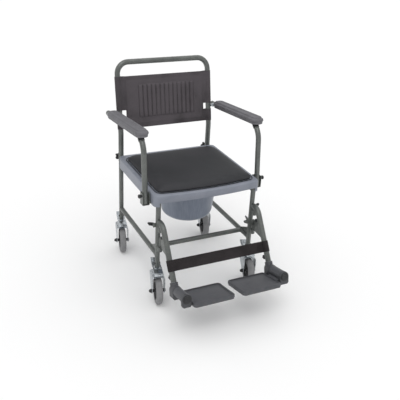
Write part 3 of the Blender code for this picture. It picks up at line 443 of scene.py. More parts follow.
# The latch of each armrest is a sprung steel pin in the outer wall of the receiver. Its ball knob is
# moulded in black nylon, and is pulled outwards to free the post.
LATCH = Vector((-ARM_X - 0.013, FRONT_Y + 0.044, 0.499))
knob = [(0, -0.0005), (0.003, -0.0005), (0.003, 0.0028), (0.0060, 0.0028), (0.0060, 0.0085), (0.0075, 0.0094),
    (0.0090, 0.0118), (0.0092, 0.0145), (0.0082, 0.0172), (0.0055, 0.0192), (0.0025, 0.0198), (0, 0.0198)]
latch = turned(knob, LATCH, (-1, 0, 0), 32)
pair(latch, "latch_knob_", black_nylon, "armrest_latch_", "black_plastic", "armrest_latch_", smooth=50)


# The seat is one injection moulding in blue-grey polypropylene: a 3.5 mm plate with a rounded edge, a
# skirt on all sides, an oval opening with a collar, and two guides that the bucket's rim slides on.
SEAT_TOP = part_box("commode_seat")[1].z
SEAT_SHIFT = REAR_Y - 0.240


def seat_plan(inset, rear_gap=0.0, corner=0.026, steps=9):
    """Plan of the seat: a rounded square whose front edge bows forward."""
    half, r = 0.254 - inset, max(corner - inset, 0.006)
    front, rear = -0.269 + inset + 0.013, 0.222 - inset - rear_gap
    flat, points = half - r, []

    def corner_arc(cx, cy, start, end):
        for k in range(steps + 1):
            turn = math.radians(start + (end - start) * k / steps)
            points.append((cx + r * math.cos(turn), cy + r * math.sin(turn) + SEAT_SHIFT))

    corner_arc(flat, rear - r, 0, 90)
    corner_arc(-flat, rear - r, 90, 180)
    corner_arc(-flat, front + r, 180, 250)
    reach = half - r * (1 - math.cos(math.radians(250)))
    for k in range(1, 20):
        px = -flat + 2 * flat * k / 20
        points.append((px, front - 0.013 * (1 - (px / reach) ** 2) + SEAT_SHIFT))
    corner_arc(flat, front + r, 290, 360)
    return points


def cut_by(obj, cutter, operation="DIFFERENCE"):
    applied(obj, "BOOLEAN", operation=operation, object=cutter, solver="EXACT")
    bpy.data.objects.remove(cutter)
    return obj


# moulded polypropylene: blue-grey with flow clouds 80 mm long, a fine 0.7 mm mould grain and a low sheen
tones = ((0.3, "7A7F8A"), (0.7, "858994"))
polypropylene = mottled("moulded_polypropylene", (12.0, 4.0, 0.6), 1400.0, tones, (0.38, 0.52), (0.15, 0.0003),
    IOR=1.49)

skirt_bottom = SEAT_TOP - 0.051
seat = plate([(px, py, skirt_bottom) for px, py in seat_plan(0)], (0, 0, 0.051))
bpy.ops.object.mode_set(mode="EDIT")
bpy.ops.mesh.select_all(action="DESELECT")
bpy.ops.object.mode_set(mode="OBJECT")
for edge in seat.data.edges:
    edge.select = all(seat.data.vertices[v].co.z > SEAT_TOP - 1e-5 for v in edge.vertices)
bpy.ops.object.mode_set(mode="EDIT")
bpy.ops.mesh.select_mode(type="EDGE")
bpy.ops.mesh.bevel(offset=0.007, segments=5, profile=0.5)
bpy.ops.object.mode_set(mode="OBJECT")
room = plate([(px, py, skirt_bottom - 0.02) for px, py in seat_plan(0.0035)], (0, 0, 0.0675))
cut_by(seat, room)
front_face = FRONT_Y - 0.029
cut_by(seat, block((-LEG_X, front_face - 0.02, skirt_bottom - 0.01), (LEG_X, front_face + 0.039, SEAT_TOP - 0.034)))
cut_by(seat, block((-LEG_X, REAR_Y - 0.048, skirt_bottom - 0.01), (LEG_X, REAR_Y, SEAT_TOP - 0.024)))
for side in (-1, 1):
    xs = sorted((side * (LEG_X - 0.015), side * 0.264))
    cut_by(seat, block((xs[0], REAR_Y - 0.044, skirt_bottom - 0.01), (xs[1], REAR_Y, SEAT_TOP - 0.0034)))
    xs = sorted((side * 0.242, side * 0.264))
    cut_by(seat, block((xs[0], LATCH.y - 0.018, skirt_bottom - 0.01), (xs[1], LATCH.y + 0.022, RAIL_Z + 0.0065)))
BUCKET_Y = SEAT_SHIFT - 0.030
oval = [(math.cos(math.radians(t)), math.sin(math.radians(t))) for t in range(0, 360, 6)]
cut_by(seat, plate([(0.105 * u, BUCKET_Y + 0.124 * v, SEAT_TOP - 0.02) for u, v in oval], (0, 0, 0.04)))
collar = plate([(0.1075 * u, BUCKET_Y + 0.1265 * v, SEAT_TOP - 0.028) for u, v in oval], (0, 0, 0.0262))
cut_by(collar, plate([(0.105 * u, BUCKET_Y + 0.124 * v, SEAT_TOP - 0.04) for u, v in oval], (0, 0, 0.06)))
guides = []
for side in (-1, 1):
    lip = SEAT_TOP - 0.0403
    ends = (FRONT_Y + 0.049, REAR_Y - 0.049)
    xs = sorted((side * 0.151, side * 0.1535))
    guides.append(block((xs[0], ends[0], lip - 0.0025), (xs[1], ends[1], SEAT_TOP - 0.002)))
    xs = sorted((side * 0.140, side * 0.152))
    guides.append(block((xs[0], ends[0], lip - 0.0025), (xs[1], ends[1], lip)))
fit(joined(bevelled(seat, 0.0006, 2), collar, *guides), "moulded_seat", polypropylene, "frame", "seat_plastic",
    "commode_seat", smooth=30)


# The bucket is moulded in thin polypropylene, with tapering sides and a deep round base. It hangs by
# its flat rim on the two guides of the seat, and slides out to the rear.
low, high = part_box("bucket")
RIM_Z, BASE_Z = high.z, low.z
bucket_poly = blank_material("bucket_polypropylene")
# the same plastic, a little greyer and glossier, with faint vertical drag marks 6 mm apart from the mould
spot = put(bucket_poly, "TexCoord").outputs["Object"]
drag = put(bucket_poly, "Mapping", {"Vector": spot}, Scale=(150.0, 150.0, 9.0)).outputs["Vector"]
streak = put(bucket_poly, "TexNoise", {"Vector": drag}, Scale=1.0, Detail=3.0).outputs["Fac"]
grain = put(bucket_poly, "TexNoise", {"Vector": spot}, Scale=1100.0, Detail=2.0).outputs["Fac"]
stops = ((0.3, "7C8493"), (0.7, "8991A0"))
surface(bucket_poly, streak, streak, grain, stops, (0.30, 0.42), (0.12, 0.0003), IOR=1.49)
outside = [(0.1500, RIM_Z - 0.0008), (0.1500, RIM_Z - 0.0024), (0.1494, RIM_Z - 0.0030), (0.1392, RIM_Z - 0.0030),
    (0.1380, RIM_Z - 0.0042)]
outside += [(0.1380 - 0.0007, RIM_Z - 0.012)]
for k in range(13):
    turn = math.radians(-90 * k / 12)
    outside.append((0.088 + 0.032 * math.cos(turn), BASE_Z + 0.032 + 0.032 * math.sin(turn)))
outside += [(0.060, BASE_Z), (0.058, BASE_Z + 0.0008), (0, BASE_Z + 0.0008)]
inside = [(0, BASE_Z + 0.0026), (0.088, BASE_Z + 0.0026)]
for k in range(1, 13):
    turn = math.radians(-90 + 90 * k / 12)
    inside.append((0.088 + 0.0295 * math.cos(turn), BASE_Z + 0.032 + 0.0295 * math.sin(turn)))
inside += [(0.1352, RIM_Z - 0.004), (0.1362, RIM_Z - 0.0006), (0.1370, RIM_Z), (0.1492, RIM_Z),
    (0.1500, RIM_Z - 0.0008)]
bucket = turned(outside + inside, (0, BUCKET_Y, 0), (0, 0, 1), 96)
fit(bucket, "moulded_bucket", bucket_poly, "bucket", "bucket_plastic", "bucket", smooth=40)


# The seat cushion is a soft foam pad in dark grey vinyl, lying loose on the seat as its lid. The vinyl is
# drawn over the foam's edge and welded to a backing sheet all round, which leaves a thin welt at the foot.
low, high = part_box("seat_cushion")
CUSHION_SHIFT = 0.002
vinyl = blank_material("embossed_pvc_vinyl")
# embossed PVC: leather pebbles about 1.4 mm across, a matt sheen that rubs glossier on the high places
spot = put(vinyl, "TexCoord").outputs["Object"]
pebble = put(vinyl, "TexVoronoi", {"Vector": spot}, feature="DISTANCE_TO_EDGE", Scale=720.0).outputs["Distance"]
crease = put(vinyl, "TexNoise", {"Vector": spot}, Scale=260.0, Detail=4.0).outputs["Fac"]
wear = put(vinyl, "TexNoise", {"Vector": spot}, Scale=7.0, Detail=3.0).outputs["Fac"]
relief = put(vinyl, "Math", {0: pebble, 1: crease}, operation="ADD").outputs[0]
stops = ((0.3, "2B2C2F"), (0.5, "303134"), (0.72, "363539"))
surface(vinyl, wear, wear, relief, stops, (0.46, 0.60), (0.25, 0.0005), IOR=1.53, Specular_IOR_Level=0.25)


def swollen(obj, voxel, pressure, most, floor_z=None):
    """Foam under its cover: an even mesh blown up by pressure, no point of it further than the cap."""
    applied(obj, "REMESH", mode="VOXEL", voxel_size=voxel)
    start = [v.co.copy() for v in obj.data.vertices]
    cloth = obj.modifiers.new("cloth", "CLOTH")
    cloth.settings.use_pressure, cloth.settings.uniform_pressure_force = True, pressure
    cloth.settings.effector_weights.gravity = 0
    cloth.settings.quality = 5
    cloth.settings.mass = 0.3
    cloth.settings.tension_stiffness = cloth.settings.compression_stiffness = 25
    cloth.point_cache.frame_start, cloth.point_cache.frame_end = 1, 20
    for number in range(1, 21):
        bpy.context.scene.frame_set(number)
    bpy.ops.object.modifier_apply(modifier=cloth.name)
    bpy.context.scene.frame_set(1)
    for vertex, before in zip(obj.data.vertices, start):
        moved = vertex.co - before
        if moved.length > most:
            vertex.co = before + moved * (most / moved.length)
        if floor_z is not None and vertex.co.z < floor_z:
            vertex.co.z = floor_z
    return obj


def cushion_plan(inset):
    return seat_plan(0.017 + inset, 0.023, corner=0.052, steps=12)


cushion = plate([(px, py, low.z + 0.0002) for px, py in cushion_plan(0.002)], (0, 0, 0.0215), 0.005, 4, angle=50)
swollen(cushion, 0.006, 4.0, 0.0035, low.z + 0.0002)
middle_y = (low.y + high.y) / 2
for vertex in cushion.data.vertices:  # the shoulder leans in from the foot
    lean_in = 1 - 0.085 * min(max((vertex.co.z - low.z) / 0.0215, 0), 1.1) ** 1.8
    vertex.co.x *= lean_in
    vertex.co.y = middle_y + (vertex.co.y - middle_y) * lean_in
applied(cushion, "SMOOTH", factor=0.5, iterations=4)
applied(cushion, "SUBSURF", levels=1, render_levels=1)
fit(cushion, "foam_cushion", vinyl, "seat_cushion", "cushion_vinyl", "seat_cushion", smooth=60)
line = drawn([(px, py, low.z + 0.0022) for px, py in cushion_plan(0.0015) + cushion_plan(0.0015)[:1]], closed=False)
bpy.ops.object.convert(target="CURVE")
line = bpy.context.object
line.data.bevel_depth, line.data.bevel_resolution, line.data.use_fill_caps = 0.0016, 3, True
bpy.ops.object.convert(target="MESH")
fit(bpy.context.object, "cushion_welt", vinyl, "seat_cushion", "cushion_vinyl", smooth=60)


# The push handle and both uprights are one 25 mm tube with four bends. It slides over the rear legs, and
# is held there by the two star knobs.
BACK_R, LEAN_Z, LEAN = 0.0125, 0.622, 0.180
HANDLE_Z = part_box("back_tube")[1].z - BACK_R
SLEEVE_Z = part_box("back_tube")[0].z


def lean_y(z):
    return REAR_Y + max(z - LEAN_Z, 0) * LEAN


corners = [(-LEG_X, REAR_Y, SLEEVE_Z), (-LEG_X, REAR_Y, LEAN_Z), (-LEG_X, lean_y(HANDLE_Z), HANDLE_Z)]
corners += [(-px, py, pz) for px, py, pz in reversed(corners)]
handle = bent_tube(corners, BACK_R, (0.120, 0.055, 0.055, 0.120), sides=48)
fit(handle, "push_handle_tube", powder_coat, "backrest", "frame_paint", "back_tube")


# The back cover is one piece of coated polyester cloth stretched between the uprights. Its ends are
# sewn round the tubes as sleeves, cut away round the arm pivots, and a field of upright channels in the
# middle is padded and sewn through.
COVER_LOW, COVER_HIGH = 0.640, 0.880
PIVOT_Z, SLOT_HALF, SLOT_REACH = 0.711, 0.015, 0.030
PIVOT_Y = lean_y(PIVOT_Z)
foot = Vector((0, lean_y(COVER_LOW), COVER_LOW))
head_line = Vector((0, lean_y(COVER_HIGH), COVER_HIGH))
up_the_back = (head_line - foot).normalized()
to_front = up_the_back.cross(Vector((1, 0, 0)))
to_front = -to_front if to_front.y > 0 else to_front
cover_tall = (head_line - foot).length
SLEEVE_R, COVER_AHEAD = BACK_R + 0.0013, 0.0078
SEW_X = LEG_X - 0.038

cloth_back = blank_material("coated_polyester_cloth")
# coated polyester cloth: a plain weave of 0.9 mm threads, drawn at 1.6 mm so that it shows, in a brown
# black with a dull sheen; the folded hems and the sleeves are doubled cloth and are drawn darker, and painted
# shade darkens the grooves sewn between the padded channels, whose crowns are painted a little lighter
spot = put(cloth_back, "TexCoord").outputs["Object"]
threads = dict(Scale=310.0, Distortion=0.4, Detail=1.0)
across = put(cloth_back, "TexWave", {"Vector": spot}, bands_direction="X", **threads).outputs["Fac"]
upright = put(cloth_back, "TexWave", {"Vector": spot}, bands_direction="Z", **threads).outputs["Fac"]
weave = put(cloth_back, "Math", {0: across, 1: upright}, operation="ADD").outputs[0]
fade = put(cloth_back, "TexNoise", {"Vector": spot}, Scale=9.0, Detail=5.0).outputs["Fac"]
fibre = put(cloth_back, "TexNoise", {"Vector": spot}, Scale=900.0, Detail=2.0).outputs["Fac"]
# painted shade and light: darker on the doubled hems and sleeves, painted shade in the channel grooves and a little
# painted light on the crowns
layers = put(cloth_back, "Attribute", attribute_name="layers").outputs["Fac"]
lively = put(cloth_back, "Math", {0: fade, 1: fibre}, operation="ADD").outputs[0]
cloth_tone_with_painted_shade = put(cloth_back, "Math", {0: lively, 1: layers}, operation="SUBTRACT").outputs[0]
stops = ((0.30, "252124"), (0.75, "474346"), (1.0, "585357"))
surface(cloth_back, cloth_tone_with_painted_shade, weave, weave, stops, (0.62, 0.82), (0.25, 0.0004), IOR=1.5, Specular_IOR_Level=0.25)

CHANNELS, FIELD_FROM, FIELD_TO, FIELD_LOW, FIELD_HIGH = 13, -0.135, 0.150, 0.048, 0.200
rim_x, rim_a = LEG_X - SLEEVE_R * 0.5, SLEEVE_R * 0.866
join_x = rim_x - (rim_a - COVER_AHEAD) * 1.732
section = [(-SEW_X, COVER_AHEAD - 0.0016)]  # (x, distance ahead of the uprights' middle), seam to seam
for k in range(21):
    turn = math.radians(300 - 240 * k / 20)
    section.append((-LEG_X + SLEEVE_R * math.cos(turn), SLEEVE_R * math.sin(turn)))
half_section = len(section)
columns = round(2 * join_x / 0.002)
flat_run = [-join_x + 2 * join_x * k / columns for k in range(columns + 1)]
section += [(px, COVER_AHEAD) for px in flat_run] + [(-px, a) for px, a in reversed(section)]
slot_low, slot_high = ((z - COVER_LOW) / up_the_back.z for z in (PIVOT_Z - SLOT_HALF, PIVOT_Z + SLOT_HALF))
rows = [cover_tall * k / 62 for k in range(63)]
for edge in (slot_low, slot_high):
    rows[min(range(63), key=lambda k: abs(rows[k] - edge))] = edge


def channel_height(px, v):
    """How far a padded channel stands proud of the cloth."""
    if not FIELD_FROM < px < FIELD_TO or not FIELD_LOW < v < FIELD_HIGH:
        return 0.0
    pitch = (FIELD_TO - FIELD_FROM) / CHANNELS
    swell = abs(math.sin(math.pi * (px - FIELD_FROM) / pitch)) ** 0.7
    ends = min(v - FIELD_LOW, FIELD_HIGH - v) / 0.009
    return 0.0052 * swell * math.sqrt(min(1.0, max(0.0, 1 - (1 - min(ends, 1)) ** 2)))


def cover_point(px, a, v, stand=0.0):
    bow = -0.0022 * max(0.0, 1 - (px / join_x) ** 2) * math.sin(math.pi * v / cover_tall) if a == COVER_AHEAD else 0.0
    return foot + up_the_back * v + to_front * (a + bow + stand + (channel_height(px,
        v) if a == COVER_AHEAD else 0.0)) + Vector((px, 0, 0))


points, faces, layers = [], [], []
for v in rows:
    for number, (px, a) in enumerate(section):
        points.append(cover_point(px, a, v))
        doubled = abs(px) > SEW_X or v < 0.021 or v > cover_tall - 0.019
        pitch = (FIELD_TO - FIELD_FROM) / CHANNELS
        # painted shade: the grooves sewn between the padded channels are darkened, and the padded crowns are painted
        # a little lighter
        seam_shade_and_crown_light = 0.0
        if channel_height(px, v) > 0 or (FIELD_FROM < px < FIELD_TO and FIELD_LOW < v < FIELD_HIGH):
            seam_shade_and_crown_light = 0.50 * (1 - abs(math.sin(math.pi * (px - FIELD_FROM) / pitch))) ** 2 - 0.06
        layers.append((0.14 if doubled else 0.0) + seam_shade_and_crown_light)
wide = len(section)
for r in range(len(rows) - 1):
    for c in range(wide - 1):
        middle_x = (section[c][0] + section[c + 1][0]) / 2
        middle_v = (rows[r] + rows[r + 1]) / 2
        round_the_tube = not half_section <= c < wide - half_section - 1
        if slot_low < middle_v < slot_high and (abs(middle_x) > LEG_X - SLOT_REACH or round_the_tube):
            continue
        faces.append((r * wide + c, r * wide + c + 1, (r + 1) * wide + c + 1, (r + 1) * wide + c))
cover = meshed("cover", points, faces)
cover.data.attributes.new("layers", "FLOAT", "POINT").data.foreach_set("value", layers)
edit(cover)
bpy.ops.mesh.delete_loose()
bpy.ops.mesh.select_all(action="SELECT")
bpy.ops.mesh.normals_make_consistent(inside=False)
bpy.ops.object.mode_set(mode="OBJECT")
applied(cover, "SOLIDIFY", thickness=0.0012, offset=0.0)
fit(cover, "back_cover", cloth_back, "backrest", "cover_fabric", "backrest_cover", smooth=60)

# lockstitch in black thread, 4 mm a stitch, down each sleeve and along both hems
thread = blank_material("black_polyester_thread")
spot = put(thread, "TexCoord")
ply = put(thread, "TexNoise", {"Vector": spot.outputs["Object"]}, Scale=1500.0, Detail=2.0)
tone = put(thread, "ValToRGB", {"Fac": ply.outputs["Fac"]}, stops=((0.3, "242124"), (0.7, "4A464A")))
skin = put(thread, "Bump", {"Height": ply.outputs["Fac"]}, Strength=0.3, Distance=0.0003)
shader = put(thread, "BsdfPrincipled", {"Base Color": tone.outputs["Color"], "Normal": skin.outputs["Normal"]},
    Roughness=0.6)
put(thread, "OutputMaterial", {"Surface": shader.outputs["BSDF"]})
points, faces = [], []


def stitch(middle, along):
    """One stitch: a thin lozenge of thread, lying on the cloth."""
    first, side = len(points), along.cross(to_front)
    points.extend([middle - along * 0.0014, middle + side * 0.0004, middle + to_front * 0.0004,
        middle - side * 0.0004, middle - to_front * 0.0004, middle + along * 0.0014])
    for a, b in ((1, 2), (2, 3), (3, 4), (4, 1)):
        faces.append((first, first + b, first + a))
        faces.append((first + 5, first + a, first + b))


for px in (-SEW_X, SEW_X):
    for k in range(60):
        v = 0.004 + k * 0.004
        if not slot_low - 0.002 < v < slot_high + 0.002 and v < cover_tall - 0.003:
            stitch(cover_point(px, COVER_AHEAD, v, 0.0008), up_the_back)
for v in (0.021, cover_tall - 0.019):
    for k in range(107):
        stitch(cover_point(-0.2125 + 0.004 * k, COVER_AHEAD, v, 0.0008), Vector((1, 0, 0)))
stitching = meshed("stitching", points, faces)
fit(tidy(stitching), "cover_stitching", thread, "backrest", "cover_fabric", smooth=80)


# Two star knobs behind the uprights clamp the back at its height. Each is moulded in black nylon round
# a steel screw, which passes through the upright and into the rear leg.
KNOB_Z, KNOB_FACE = 0.491, REAR_Y + 0.0245
lobes = []
for k in range(80):
    turn = 2 * math.pi * k / 80
    reach = 0.019 * (0.86 + 0.14 * math.cos(5 * turn))
    lobes.append((-LEG_X + reach * math.cos(turn), KNOB_FACE, KNOB_Z + reach * math.sin(turn)))
star = plate(lobes, (0, 0.016, 0), 0.0035, 4, angle=50)
neck = turned([(0, -0.013), (0.004, -0.013), (0.004, -0.0088), (0.0088, -0.0088), (0.0088, 0.003), (0, 0.003)],
    (-LEG_X, KNOB_FACE, KNOB_Z), (0, 1, 0), 28)
button = turned([(0, 0.014), (0.007, 0.014), (0.007, 0.0164), (0.0055, 0.0170), (0, 0.0168)],
    (-LEG_X, KNOB_FACE, KNOB_Z), (0, 1, 0), 28)
pair(joined(star, neck, button), "star_knob_", black_nylon, "back_knob_", "black_plastic", "back_knob_", smooth=45)


# Each armrest is a bent 24 mm tube that turns on a stub across the upright. A black plug closes its
# tail, and a black collar seals the tube where it leaves the pad.
ARM_RISE, ARM_R = 0.1034, 0.012
slope = math.atan(ARM_RISE)


def arm_line(y):
    return PIVOT_Z + (PIVOT_Y - y) * ARM_RISE


tail, corner_y, post_y = PIVOT_Y + 0.035, FRONT_Y + 0.074, FRONT_Y + 0.044
post_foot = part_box("armrest_tube_left")[0].z + ARM_R * 0.1
arm_corners = [Vector((-ARM_X, tail, arm_line(tail))), Vector((-ARM_X, corner_y, arm_line(corner_y))),
    Vector((-ARM_X, post_y, post_foot))]
ARM_BEND = 0.080
arm = bent_tube(arm_corners, ARM_R, (ARM_BEND,))
pair(arm, "armrest_bent_tube_", powder_coat, "armrest_", "frame_paint", "armrest_tube_")
backwards = (arm_corners[0] - arm_corners[1]).normalized()
plug = turned([(0, -0.003), (0.0105, -0.003), (0.0105, 0), (0.0123, 0.0002), (0.0124, 0.0024), (0.0112, 0.0040),
    (0.006, 0.0048), (0, 0.0050)], arm_corners[0], backwards)
downwards = (arm_corners[2] - arm_corners[1]).normalized()
turn = (-backwards).angle(downwards)
bend_start = arm_corners[1] + backwards * ARM_BEND * math.tan(turn / 2)
bend_axis = (-backwards).cross(downwards).normalized()
bend_centre = bend_start + bend_axis.cross(-backwards) * ARM_BEND
collars = []
for part in (0.42, 0.46, 0.50):
    spun = Matrix.Rotation(turn * part, 3, bend_axis)
    ring = [(0.0121, -0.0026), (0.0134, -0.0022), (0.0138, 0), (0.0134, 0.0022), (0.0121, 0.0026)]
    collars.append(turned(ring, bend_centre + spun @ (bend_start - bend_centre), spun @ -backwards))
pair(joined(plug, *collars), "armrest_plug_", black_nylon, "armrest_", "black_plastic", smooth=45)


# The pads are moulded in one piece from integral-skin polyurethane foam over the tube: a firm grey skin
# with a dished top between two soft ridges, and rounded ends.
skin_foam = blank_material("integral_skin_foam")
# integral-skin foam: warm grey, matt, with a 1 mm leather grain pressed in by the mould
spot = put(skin_foam, "TexCoord").outputs["Object"]
cloud = put(skin_foam, "TexNoise", {"Vector": spot}, Scale=18.0, Detail=4.0).outputs["Fac"]
pores = put(skin_foam, "TexVoronoi", {"Vector": spot}, feature="DISTANCE_TO_EDGE", Scale=950.0).outputs["Distance"]
stops = ((0.3, "5F5E62"), (0.7, "6E6D72"))
surface(skin_foam, cloud, cloud, pores, stops, (0.50, 0.66), (0.2, 0.0004), IOR=1.5)
pad_ends = (FRONT_Y + 0.072, PIVOT_Y - 0.018)
pad_half = (pad_ends[1] - pad_ends[0]) / 2 / math.cos(slope)
plan = []
for a, b, start in ((1, 1, 0), (-1, 1, 90), (-1, -1, 180), (1, -1, 270)):
    for k in range(11):
        turn = math.radians(start + 9 * k)
        plan.append((a * 0.0025 + 0.024 * math.cos(turn), b * (pad_half - 0.024) + 0.024 * math.sin(turn), -0.008))
pad = plate(plan, (0, 0, 0.031))
bpy.ops.object.mode_set(mode="EDIT")
bpy.ops.mesh.select_all(action="DESELECT")
bpy.ops.object.mode_set(mode="OBJECT")
for face in pad.data.polygons:
    face.select = face.normal.z > 0.9
bpy.ops.object.mode_set(mode="EDIT")
bpy.ops.mesh.select_mode(type="FACE")
bpy.ops.mesh.bevel(offset=0.0085, segments=5)
bpy.ops.mesh.inset(thickness=0.0045, depth=0.0)
bpy.ops.mesh.inset(thickness=0.0030, depth=-0.0022)
bpy.ops.object.mode_set(mode="OBJECT")
bevelled(pad, 0.0022, 2, 60)
applied(pad, "REMESH", mode="VOXEL", voxel_size=0.0022)
applied(pad, "SMOOTH", factor=0.5, iterations=6)
middle_y = sum(pad_ends) / 2
pad.data.transform(Matrix.Translation((-ARM_X, middle_y, arm_line(middle_y))) @ Matrix.Rotation(-slope, 4, "X"))
pads = pair(pad, "armrest_foam_pad_", skin_foam, "armrest_", "arm_pad", "armrest_pad_", smooth=80)


# The stub that each arm turns on is a turned steel bar through the upright, bright zinc plated, with a
# shoulder against the arm and a domed end.
# bright zinc plate: blue-white metal with soft 5 mm clouds of the plating and a faint drawn grain
tones = ((0.3, "9CA1A5"), (0.7, "C2C7CB"))
zinc = mottled("bright_zinc_plate", (110.0, 5.0, 0.8), 900.0, tones, (0.20, 0.36), (0.08, 0.0003), Metallic=1.0)
step = -ARM_X + LEG_X
stub = [(0, 0.0128), (0.007, 0.0128), (0.007, 0.0255), (0.0098, 0.0262), (0.0098, 0.0296), (0.007, 0.0303),
    (0.007, 0.0553), (0.0092, 0.0556), (0.0098, 0.0564), (0.0098, 0.0578), (0.0088, 0.0590), (0, 0.0591)]
stub = turned(stub, (-LEG_X, PIVOT_Y, PIVOT_Z), (-1, 0, 0))
pair(stub, "armrest_stub_", zinc, "backrest", "steel", "armrest_pivot_")


# Each footrest hangs on two vertical pins. Its tube bends down and forward at 33 degrees from upright;
# a welded plate carries the lower pin, and a black stop ball sits on the plate.
HANGER_SLOPE = math.radians(33.2)
DOWN = Vector((0, -math.sin(HANGER_SLOPE), -math.cos(HANGER_SLOPE)))
BEHIND = Vector((0, math.cos(HANGER_SLOPE), -math.sin(HANGER_SLOPE)))
HANGER_R, HANGER_TOP, HUB_Z = 0.0125, 0.393, 0.168


def hanger_point(px, z):
    """Middle of the sloping run of the hanger at a height."""
    return Vector((px, FRONT_Y - 0.053, HANGER_TOP)) + DOWN * ((HANGER_TOP - z) / math.cos(HANGER_SLOPE))


x = -LEG_X
meet = hanger_point(x, HUB_Z)
hanger_corners = [(x, HINGE_Y + 0.010, HANGER_TOP), hanger_point(x, HANGER_TOP), meet - DOWN * 0.031]
hanger = bevelled(bent_tube(hanger_corners, HANGER_R, (0.045,)), 0.0008, 2)
hinge_pin = turned([(0, 0.354), (0.005, 0.354), (0.006, 0.3555), (0.006, 0.3850), (0, 0.3850)], (x, HINGE_Y, 0),
    (0, 0, 1), 28)
collar = turned([(0.006, 0.3745), (0.0085, 0.3745), (0.0088, 0.3752), (0.0088, 0.3822), (0.006, 0.3822),
    (0.006, 0.3745)], (x, HINGE_Y, 0), (0, 0, 1), 28)
pair(joined(hanger, hinge_pin, collar), "footrest_hanger_", powder_coat, "hanger_", "frame_paint", "hanger_tube_")

plate_low = 0.2783
plate_high = plate_low + 0.050
outline = [(HINGE_Y + 0.005, plate_low), (HINGE_Y - 0.0115, plate_low),
    (hanger_point(x, plate_low).y, plate_low - 0.006)]
outline += [(hanger_point(x, plate_high).y, plate_high + 0.006), (HINGE_Y - 0.012, plate_high + 0.001),
    (HINGE_Y + 0.005, plate_high)]
web = plate([(x - 0.002, y, z) for y, z in outline], (0.004, 0, 0), 0.0007)
low_pin = turned([(0, 0.258), (0.005, 0.258), (0.006, 0.2595), (0.006, 0.3235), (0.005, 0.3243), (0, 0.3243)],
    (x, HINGE_Y, 0), (0, 0, 1), 28)
pair(joined(web, low_pin), "hinge_plate_", powder_coat, "hanger_", "frame_paint", "hanger_bracket_")
ball_y, ball_z = HINGE_Y - 0.023, plate_high + 0.006
ball = turned([(0, -0.007), (0.0045, -0.0066), (0.0072, -0.0045), (0.008, -0.001), (0.008, 0.001), (0.0072, 0.0045),
    (0.0045, 0.0066), (0, 0.007)], (x, ball_y, ball_z), (1, 0, 0), 32)
pair(ball, "stop_ball_", black_nylon, "hanger_", "black_plastic", smooth=60)

# the forked hook on the right plate, where the free end of the calf strap is parked
hook = [(0.001, -0.028), (0.001, -0.006), (0.014, -0.006), (0.024, 0.004), (0.044, 0.028), (0.048, 0.024)]
hook += [(0.038, 0.004), (0.050, 0.002), (0.052, -0.006), (0.034, -0.014), (0.020, -0.026)]
hook = plate([(LEG_X - u, HINGE_Y - 0.008, plate_high + v) for u, v in hook], (0, 0.011, 0), 0.0016, 3)
fit(hook, "strap_hook", powder_coat, "hanger_right", "frame_paint")


# The lever that frees each footrest is a fin moulded in black nylon. It turns on the pin of the tab
# beside the front leg, and a push with a finger tips it.
fin = [(-0.005, -0.005), (0.004, -0.0075), (0.020, -0.002), (0.026, 0.006), (0.023, 0.012), (0.010, 0.009),
    (-0.004, 0.005)]
fin = plate([(-(LEG_X + 0.019 + u), FRONT_Y + 0.004, 0.376 + v) for u, v in fin], (0, 0.0095, 0), 0.0022, 3)
pair(fin, "release_fin_", black_nylon, "release_lever_", "black_plastic", "release_lever_", smooth=45)


# The stem slides in the hanger to set the length of the footrest. It is a plain steel tube, bright zinc
# plated, with the hub pressed on its foot.
stem = bent_tube([meet - DOWN * 0.130, meet], 0.0105, sides=32)
pair(stem, "sliding_stem_", zinc, "footrest_stem_", "steel", "footrest_stem_")


# The hub is moulded in dark grey glass-filled nylon: a block that the stem is pressed into, and a nose
# block with a round cap, joined by the axle that the footplate turns on.
HUB_TILT = math.radians(12.5)
TOES = Vector((0, -math.cos(HUB_TILT), math.sin(HUB_TILT)))
HUB_UP = Vector((0, math.sin(HUB_TILT), math.cos(HUB_TILT)))
# glass-filled nylon: dark grey, a little mottled by the fibres, with a 0.9 mm mould grain
tones = ((0.3, "3A3B3E"), (0.7, "48494D"))
grey_nylon = mottled("glass_filled_nylon", (70.0, 5.0, 0.0), 1100.0, tones, (0.40, 0.56), (0.2, 0.0003), IOR=1.53)


def on_hub(p, q, t):
    """A point by its distance outboard of the left footplate's axis, above it, and along it."""
    return meet + Vector((-p, 0, 0)) + HUB_UP * q + TOES * t


def hub_block(start, end, ease):
    outline = [(0.0155, -0.036), (0.0215, -0.028)]
    outline += [(0.0215 * math.cos(math.radians(9 * k)), 0.0215 * math.sin(math.radians(9 * k))) for k in range(21)]
    outline += [(-0.0215, -0.028), (-0.0155, -0.036)]
    return plate([on_hub(p, q, start) for p, q in outline], TOES * (end - start), ease, 3, angle=50)


rear_block, nose = hub_block(-0.014, 0.026, 0.002), hub_block(0.104, 0.120, 0.002)
axle = turned([(0, 0.02), (0.005, 0.02), (0.005, 0.11), (0, 0.11)], meet, TOES, 24)
sleeve = turned([(0.0108, -0.030), (0.0160, -0.030), (0.0170, -0.029), (0.0170, 0.004), (0.0108, 0.004),
    (0.0108, -0.030)], meet, DOWN)
pair(joined(rear_block, nose, axle, sleeve), "footrest_hub_block_", grey_nylon, "footrest_stem_", "hub_plastic",
    "footrest_hub_", smooth=40)
dark_ring = turned([(0.0, 0.1195), (0.0188, 0.1195), (0.0194, 0.1202), (0.0194, 0.1222), (0.0185, 0.1228),
    (0.0, 0.1228)], meet, TOES)
cap = turned([(0.0, 0.1228), (0.0165, 0.1228), (0.0170, 0.1234), (0.0170, 0.1262), (0.0155, 0.1276),
    (0.0085, 0.1279), (0.0075, 0.1266), (0.0, 0.1264)], meet, TOES)
pair(joined(dark_ring, cap), "hub_cap_", black_nylon, "footrest_stem_", "black_plastic", smooth=40)


